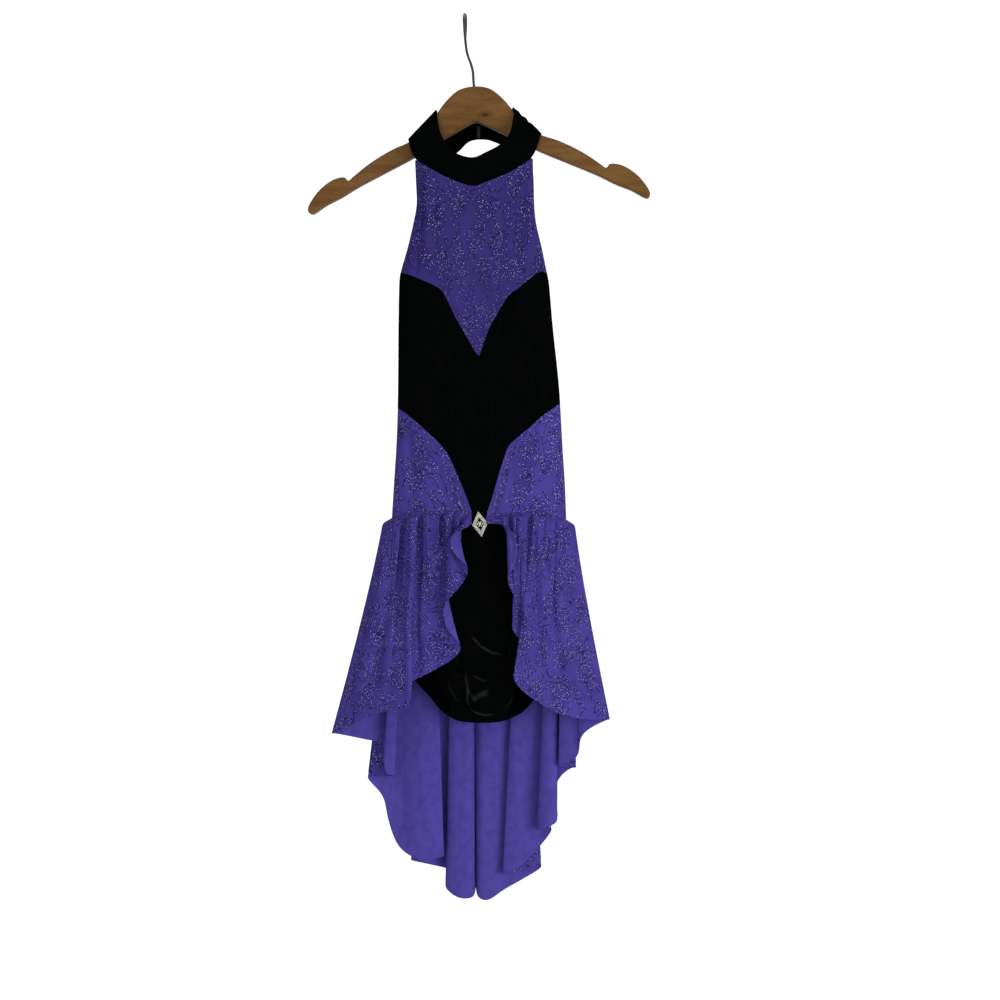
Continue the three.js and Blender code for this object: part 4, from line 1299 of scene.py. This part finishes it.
@dataclass
class Skirt:
    """The gathered skirt: two short flaps in front and the long folded tail."""

    knit: Goods
    fullness: float = 1.6
    gather_depth: float = 1.9
    fine_gather: float = 1.9
    fine_rise: float = 2.0
    fine_fall: float = 55.0
    fine_waves: tuple[int, float, float] = (5, 50, 110)
    hem: float = 5.0
    broad: float = 3.6
    broad_taps: int = 13
    broad_taper: float = 0.95
    crowding: float = 1.35
    probes: int = 12
    left_creases: tuple[Crease, ...] = creased(
        ((-66, -641), (-67, -722), (-72, -775), (-69, -880), 6.0, 4.2),
        ((-57, -641), (-57, -700), (-61, -780), (-58, -850), -5.0, 4.2),
        ((-77, -643), (-80, -668), (-84, -722), (-86, -770), -4.5, 4.5),
        ((-48, -641), (-45, -690), (-43, -750), 3.0, 3.2),
        ((-29, -642), (-29, -700), (-30, -760), -5.0, 2.8),
        ((-38, -643), (-36, -700), (-34, -790), -2.4, 3.0),
        ((-88, -650), (-100, -760), (-120, -880), -3.6, 7.0),
        ((-102, -700), (-120, -800), (-142, -890), 2.6, 8.0),
        ((-46, -770), (-40, -810), (-30, -850), -2.0, 7.0),
    )
    right_creases: tuple[Crease, ...] = creased(
        ((84, -641), (90, -720), (96, -820), (104, -880), -4.6, 6.0),
        ((70, -641), (74, -720), (80, -820), 3.4, 5.5),
        ((57, -645), (58, -700), (62, -770), -3.0, 3.0),
        ((108, -650), (122, -760), (142, -880), 3.2, 8.0),
        ((97, -641), (106, -720), (124, -860), -3.0, 5.0),
        ((120, -655), (132, -740), (150, -850), -2.4, 6.0),
    )
    back_creases: tuple[Crease, ...] = creased(
        ((-60, -940), (-54, -1000), (-46, -1060), -1.6, 6.0),
        ((-96, -960), (-84, -1020), (-80, -1050), 1.4, 7.0),
        ((-2, -930), (2, -1000), (-4, -1080), -0.9, 5.0),
        ((34, -940), (32, -1010), (36, -1090), 1.0, 5.0),
        ((62, -930), (66, -990), (72, -1050), -1.8, 5.0),
        ((80, -960), (82, -1010), (78, -1070), 1.4, 5.0),
    )

    def softly(self, folds: Table, u: Array, spans: Array | float, taps: Iterable[Pair]) -> Array:
        """The hem as a sum of taps round each place, which reach over so many of its spans."""
        line = SmoothLine(points_of(folds))
        reach = np.minimum(np.minimum(spans / (len(folds["x"]) - 1), u), 1 - u)
        return sum(line.at(u + at * reach) * share for at, share in taps)

    def hem_places(self, folds: Table, u: Array, v: Array, soft: float = SOFT_AT_SEAM) -> Array:
        """The folded hem, softened as it is read nearer the seam."""
        return self.softly(folds, u, SOFT_AT_HEM + soft * (1 - v), SOFT_TAPS)

    def trend(self, folds: Table, u: Array) -> Array:
        """The hem without its folds, as a broad mean along it."""
        taps = np.linspace(-1, 1, self.broad_taps)
        shares = np.cos(taps * math.pi / 2 * self.broad_taper)
        return self.softly(folds, u, self.broad, zip(taps, shares)) / shares.sum()

    def columns(self, folds: Table, count: int) -> Array:
        """Columns that lie closer together where the hem turns."""
        fine = np.linspace(0, 1, count * self.probes + 1)
        points = self.hem_places(folds, fine, np.ones(fine.shape))
        steps = np.diff(points, axis=0)
        length = np.linalg.norm(steps, axis=1)
        ahead = np.vstack((steps[1:], steps[-1:]))
        cosine = np.sum(steps * ahead, axis=1) / (length * np.linalg.norm(ahead, axis=1))
        worth = length + BEND_WORTH * np.arccos(np.clip(cosine, -1, 1))
        sums = np.concatenate(([0.0], np.cumsum(worth)))
        return np.interp(np.linspace(0, sums[-1], count + 1), sums, fine)

    def panel(self, name: str, folds: Table, shape: Grid, seed: int,
              creases: tuple[Crease, ...], deepening: float = 1.0) -> Piece:
        """A stretch of the skirt, from the seam to its folded hem.

        Args:
            name: the node that it stands for.
            folds: its hem.
            shape: its rows and columns.
            seed: which run of fine gathers it has.
            creases: its soft folds.
            deepening: under 1 where the folds are already deep near the seam.

        Returns:
            The piece.
        """
        u = self.columns(folds, shape[1])
        v = np.linspace(0, 1, shape[0] + 1)[:, None] ** self.crowding
        turn = np.interp(u, np.linspace(0, 1, len(folds["turn"])), folds["turn"])
        ring_z = seam(-1, SKIRT_SEAM, SKIRT_SEAM_BACK)(turn) - SKIRT_DROP
        sewn = body_point(turn, ring_z, SKIRT_OVER)
        out = body_point(turn, ring_z, SKIRT_OVER + 1) - sewn
        drop = ring_z - self.hem_places(folds, u, np.ones(u.shape))[:, 2]
        down = v * drop
        full = np.minimum(drop / PUFF_DROP, 1)
        puff = full * (1 - np.exp(-((down / PUFF_RISE) ** 2))) * np.exp(-down / PUFF_FALL)
        valleys = sum(
            -self.gather_depth * depth * np.exp(-(((turn - at) / width) ** 2))
            for at, depth, width in zip(GATHERS["turn"], GATHERS["depth"], GATHERS["width"])
        )
        fine = self.fine_gather * soft_noise(turn, seed, *self.fine_waves)
        fine = fine * np.exp(-down / self.fine_fall) * full
        fine = fine * (1 - np.exp(-((down / self.fine_rise) ** 2)))
        deep = deepening < 1
        soft = SOFT_WHERE_DEEP if deep else SOFT_AT_SEAM
        hem = self.hem_places(folds, *np.broadcast_arrays(u, v), soft)
        if deep:
            broad = self.trend(folds, u)
            folded = (hem - broad) * (v ** deepening)[..., None]
            places = sewn + (broad - sewn) * v[..., None] + folded
        else:
            places = sewn + (hem - sewn) * v[..., None]
        places = places + out * (puff * (PUFF + valleys) + fine)[..., None]
        return Cloth(f"{name}_cloth", places[:, ::-1], self.knit, ("trunk_front", "trunk_back"),
                     creases, held="gathered", fan=self.fullness, hem=self.hem).made()

    def build(self) -> list[Piece]:
        """Builds the three stretches."""
        return [
            self.panel("skirt_left", SKIRT_LEFT_FOLDS, (100, 210), 11, self.left_creases),
            self.panel("skirt_back", SKIRT_BACK_FOLDS, (104, 410), 12, self.back_creases, 0.6),
            self.panel("skirt_right", SKIRT_RIGHT_FOLDS, (100, 210), 13, self.right_creases),
        ]


def linked(name: str, bm: BMesh, material: Material,
           nodes: Iterable[str], smooth: bool = True) -> Piece:
    """Ends a hard piece: a mesh at the origin, with its finish and body, in place of the named
    parts.
    """
    for face in bm.faces:
        face.smooth = smooth
    piece = placed(name, bm, material)
    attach(piece, BODY)
    if nodes:
        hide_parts(*nodes)
    LOG.info("%s: %d faces", name, len(piece.data.polygons))
    return piece


def pulled(bm: BMesh, by: Triple) -> None:
    """Pulls a flat plate's faces out into a block, and turns its faces outwards."""
    moved = bmesh.ops.extrude_face_region(bm, geom=list(bm.faces))["geom"]
    verts = [item for item in moved if isinstance(item, bmesh.types.BMVert)]
    bmesh.ops.translate(bm, vec=by, verts=verts)
    bmesh.ops.recalc_face_normals(bm, faces=bm.faces)


@dataclass
class Hanger:
    """The wooden hanger and its steel hook."""

    wood: Material
    steel: Material
    thick: float = 14.0
    rounded: float = 2.5
    middle: float = 12.0
    top: float = -91.5
    yaw: float = 8.0
    roll: float = 1.2
    wire: float = 3.4
    hook_radius: float = 24.7
    bend_from: float = -38.0
    bend_to: float = 205.0
    bend_points: int = 15
    wire_points: int = 120
    wire_sides: int = 20
    outline_points: int = 220
    sharp: float = 30.0

    def body(self) -> Piece:
        """The wood, cut to its outline with its edges rounded over."""
        right = points_of(HANGER_OUTLINE, "u w")
        left = right[-2:0:-1] * (-1, 1)
        shares = np.linspace(0, 1, self.outline_points)[:-1]
        outline = SmoothLine(np.vstack((right, left)), closed=True).at(shares)
        bm = bmesh.new()
        bm.faces.new([bm.verts.new((x * MM, self.thick / 2 * MM, z * MM)) for x, z in outline])
        pulled(bm, (0, -self.thick * MM, 0))
        rims = [edge for edge in bm.edges if abs(edge.verts[0].co.y - edge.verts[1].co.y) < 1e-6]
        bmesh.ops.bevel(bm, geom=rims, offset=self.rounded * MM, segments=5, profile=0.5,
                        affect="EDGES", material=-1)
        turn = Matrix.Rotation(math.radians(-self.yaw), 4, "Z")
        turn = turn @ Matrix.Rotation(math.radians(-self.roll), 4, "Y")
        place = Matrix.Translation((self.middle * MM, 0, self.top * MM)) @ turn
        bmesh.ops.transform(bm, matrix=place, verts=bm.verts)
        piece = linked("hanger_wood", bm, self.wood, ("hanger_body",))
        piece.data.set_sharp_from_angle(angle=math.radians(self.sharp))
        return piece

    def hook(self) -> Piece:
        """The wire, bent over the rail and down into the hump."""
        stem = list(points_of(HOOK_STEM))
        centre = self.wire / 2 - self.hook_radius
        for share in np.linspace(0, 1, self.bend_points):
            angle = math.radians(self.bend_from + (self.bend_to - self.bend_from) * share)
            at = np.array(share * HOOK_LEAN["index"][-1])
            lean = float(smooth_at(HOOK_LEAN, "index", at, "x"))
            stem.append(np.array([lean, self.hook_radius * math.cos(angle),
                                  centre + self.hook_radius * math.sin(angle)]))
        path = SmoothLine(np.array(stem)).at(np.linspace(0, 1, self.wire_points)) * MM
        bm = bmesh.new()
        radius = self.wire / 2 * MM
        ring = bmesh.ops.create_circle(bm, segments=self.wire_sides, radius=radius)["verts"]
        ways = np.gradient(path, axis=0)
        spot = Vector(path[0])
        facing = Vector(ways[0]).normalized()
        bmesh.ops.transform(bm, verts=ring, matrix=Matrix.Translation(spot)
                            @ facing.to_track_quat("Z", "Y").to_matrix().to_4x4())
        edges = list({edge for vert in ring for edge in vert.link_edges})
        first = list(ring)
        for point, way in zip(path[1:], ways[1:]):
            made = bmesh.ops.extrude_edge_only(bm, edges=edges)["geom"]
            ring = [item for item in made if isinstance(item, bmesh.types.BMVert)]
            edges = [item for item in made if isinstance(item, bmesh.types.BMEdge)]
            ahead = Vector(way).normalized()
            swing = facing.rotation_difference(ahead).to_matrix().to_4x4()
            move = Matrix.Translation(Vector(point)) @ swing @ Matrix.Translation(-spot)
            bmesh.ops.transform(bm, matrix=move, verts=ring)
            spot, facing = Vector(point), ahead
        bm.faces.new(first)
        bm.faces.new(ring)
        bmesh.ops.recalc_face_normals(bm, faces=bm.faces)
        return linked("hook_wire", bm, self.steel, ("hanger_hook",))

    def build(self) -> list[Piece]:
        """Builds both."""
        return [self.body(), self.hook()]


@dataclass
class Brooch:
    """A rhombus of small stones round an open middle, with a cluster across it."""

    metal: Material
    glass: Material
    width: float = 20.5
    height: float = 33.5
    band: float = 4.6
    thick: float = 2.4
    tilt: float = 8.0
    place: Triple = (19.5, -28.15, -653.5)
    stone: float = 2.0
    facets: int = 8
    stone_rise: float = 0.35
    stone_depth: float = 0.5
    stone_table: float = 0.27
    plate_share: float = 0.55
    row_insets: tuple[float, ...] = (0.13, 0.335)
    spacing: float = 1.08
    cluster: tuple[Triple, ...] = (
        (0, 0, 3.6), (-3.4, 0.2, 2.6), (3.4, -0.2, 2.6), (-1.5, 2.5, 2.0), (1.3, 2.4, 2.0),
        (-1.3, -2.4, 2.0), (1.5, -2.5, 2.0),
    )

    def seated(self) -> Matrix:
        """From the brooch's own plan to its place on the waist."""
        upright = Matrix.Rotation(math.radians(90), 4, "X")
        tilted = Matrix.Rotation(math.radians(-self.tilt), 4, "Y")
        return Matrix.Translation(Vector(self.place) * MM) @ tilted @ upright

    def corners(self) -> list[Pair]:
        """The rhombus's corners, in its own plan."""
        x, y = self.width / 2, self.height / 2
        return [(x, 0), (0, y), (-x, 0), (0, -y)]

    def frame_plate(self) -> Piece:
        """The metal band that holds the stones."""
        bm = bmesh.new()
        steep = math.sin(math.atan2(self.height, self.width))
        shrink = 1 - self.band / (self.width / 2) / steep
        outer, inner = (
            [bm.verts.new((x * share * MM, y * share * MM, 0)) for x, y in self.corners()]
            for share in (1, shrink)
        )
        for k in range(4):
            after = (k + 1) % 4
            bm.faces.new((outer[k], outer[after], inner[after], inner[k]))
        pulled(bm, (0, 0, self.plate_share * self.thick * MM))
        bmesh.ops.transform(bm, matrix=self.seated(), verts=bm.verts)
        return linked("brooch_plate", bm, self.metal, ("brooch_frame",), False)

    def set_stone(self, bm: BMesh, x: float, y: float, size: float) -> None:
        """Sets one cut stone: a crown with a flat table."""
        middle = Vector((x, y, self.plate_share * self.thick + self.stone_rise * size)) * MM
        bmesh.ops.create_cone(bm, cap_ends=True, segments=self.facets, radius1=size / 2 * MM,
                              radius2=size * self.stone_table * MM,
                              depth=size * self.stone_depth * MM,
                              matrix=Matrix.Translation(middle))

    def stones(self) -> list[Piece]:
        """Two rows of stones all round, and the cluster."""
        rows, cluster = bmesh.new(), bmesh.new()
        corners = [Vector(corner) for corner in self.corners()]
        for inset in self.row_insets:
            for k in range(4):
                a, b = corners[k] * (1 - inset), corners[(k + 1) % 4] * (1 - inset)
                count = max(round((b - a).length / (self.stone * self.spacing)), 2)
                for step in range(count):
                    spot = a.lerp(b, step / count)
                    self.set_stone(rows, spot.x, spot.y, self.stone)
        for x, y, size in self.cluster:
            self.set_stone(cluster, x, y, size)
        for bm in (rows, cluster):
            bmesh.ops.transform(bm, matrix=self.seated(), verts=bm.verts)
        return [
            linked("brooch_stones", rows, self.glass, (), False),
            linked("brooch_cluster", cluster, self.glass, ("brooch_centre",), False),
        ]

    def build(self) -> list[Piece]:
        """Builds the brooch."""
        return [self.frame_plate(), *self.stones()]


@dataclass
class Studio:
    """The camera, a pale floor and soft light."""

    camera_at: Triple = (0.045, -2.0, -0.623)
    lens: float = 55.9
    sensor: float = 36.0
    aim: Triple = (0.02, 0, -0.6)
    floor_at: Triple = (0.02, -0.55, -1.45)
    lamps: tuple[tuple, ...] = (
        ("key", (1.7, -1.5, -0.9), 1.2, 38.0),
        ("fill", (-1.6, -1.7, 0.6), 1.4, 6.0),
        ("back", (0.6, 2.2, 0.4), 1.6, 14.0),
    )
    below: tuple[float, float, float, float] = (-0.85, -0.45, 0.12, 1.0)
    aside: tuple[float, float, float, float] = (0.35, 0.95, 1.12, 0.4)

    def build(self) -> None:
        """Sets up the view."""
        scene = bpy.context.scene
        scene.view_settings.view_transform = "Standard"
        camera = bpy.data.cameras.new("camera")
        camera.lens = self.lens
        camera.sensor_width = self.sensor
        seen = bpy.data.objects.new("camera", camera)
        seen.location = self.camera_at
        seen.rotation_euler = (math.pi / 2, 0, 0)
        scene.collection.objects.link(seen)
        scene.camera = seen
        self.floor()
        for lamp in self.lamps:
            self.light(scene, *lamp)
        self.room(scene)

    def room(self, scene: bpy.types.Scene) -> None:
        """A room that the camera sees white, and that lights less from below and the sides."""
        scene.world = bpy.data.worlds.new("white_room")
        scene.world.use_nodes = True
        nodes = Nodes(scene.world.node_tree)
        x, _, z = nodes.split(nodes.node("ShaderNodeTexCoord", {}).outputs["Generated"])
        aside = nodes.step(nodes.math("ABSOLUTE", x), *self.aside)
        lit = nodes.times(nodes.step(z, *self.below), aside)
        seen = nodes.node("ShaderNodeLightPath", {}).outputs["Is Camera Ray"]
        shown = nodes.math("MAXIMUM", seen, lit)
        nodes.put(nodes.tree.nodes["Background"].inputs["Color"], shown)

    def floor(self) -> None:
        """A pale round floor, below the photo's frame."""
        bm = bmesh.new()
        bmesh.ops.create_circle(bm, cap_ends=True, segments=96, radius=1.0)
        bmesh.ops.translate(bm, verts=bm.verts, vec=self.floor_at)
        s = Surface("pale_floor")
        tone = s.noise(s.place_mm("Object"), 400)
        s.wear(Base_Color=s.mix(tone, (0.86, 0.86, 0.86), (0.8, 0.8, 0.8)), Roughness=0.9)
        placed("floor", bm, s.material)

    def light(self, scene: bpy.types.Scene, name: str, at: Triple,
              size: float, power: float) -> None:
        """A square softbox that faces the middle of the costume."""
        data = bpy.data.lights.new(name, "AREA")
        data.size = size
        data.energy = power
        lamp = bpy.data.objects.new(name, data)
        lamp.location = at
        way = Vector(self.aim) - Vector(at)
        lamp.rotation_euler = way.to_track_quat("-Z", "Y").to_euler()
        scene.collection.objects.link(lamp)


def main() -> None:
    """Builds the classes in order and reports each piece."""
    logging.basicConfig(level=logging.INFO, format="%(name)s: %(message)s")
    knit = Goods(StretchKnit(Knit.PRINTED).made(), StretchKnit(Knit.PLAIN).made(),
                 "printed_knit", KNIT_WALL)
    # A darker copy of the printed knit for the halter: painted shade.
    halter_knit_painted_shade = replace(knit, face=StretchKnit(Knit.PRINTED, deep=HALTER_PAINTED_SHADE).made())
    pile, weave = StretchVelvet().made(), Tape().made()
    velvet = Goods(pile, pile, "velvet", VELVET_WALL)
    builders = [
        Hanger(Beech().made(), Metal("hook_steel", srgb(70, 72, 78), 0.32).made()),
        Collar(replace(velvet, wall=COLLAR_WALL), Goods(weave, weave, "closing_tape", TAPE_WALL)),
        Leotard(knit, halter_knit_painted_shade, velvet),
        Skirt(knit),
        Brooch(Metal("brooch_metal", srgb(120, 118, 124), 0.3).made(), Rhinestone().made()),
    ]
    for builder in builders:
        pieces = builder.build()
        LOG.info("%s: %d pieces", type(builder).__name__, len(pieces))
    Studio().build()
    bpy.context.view_layer.update()


if __name__ == "__main__":
    main()
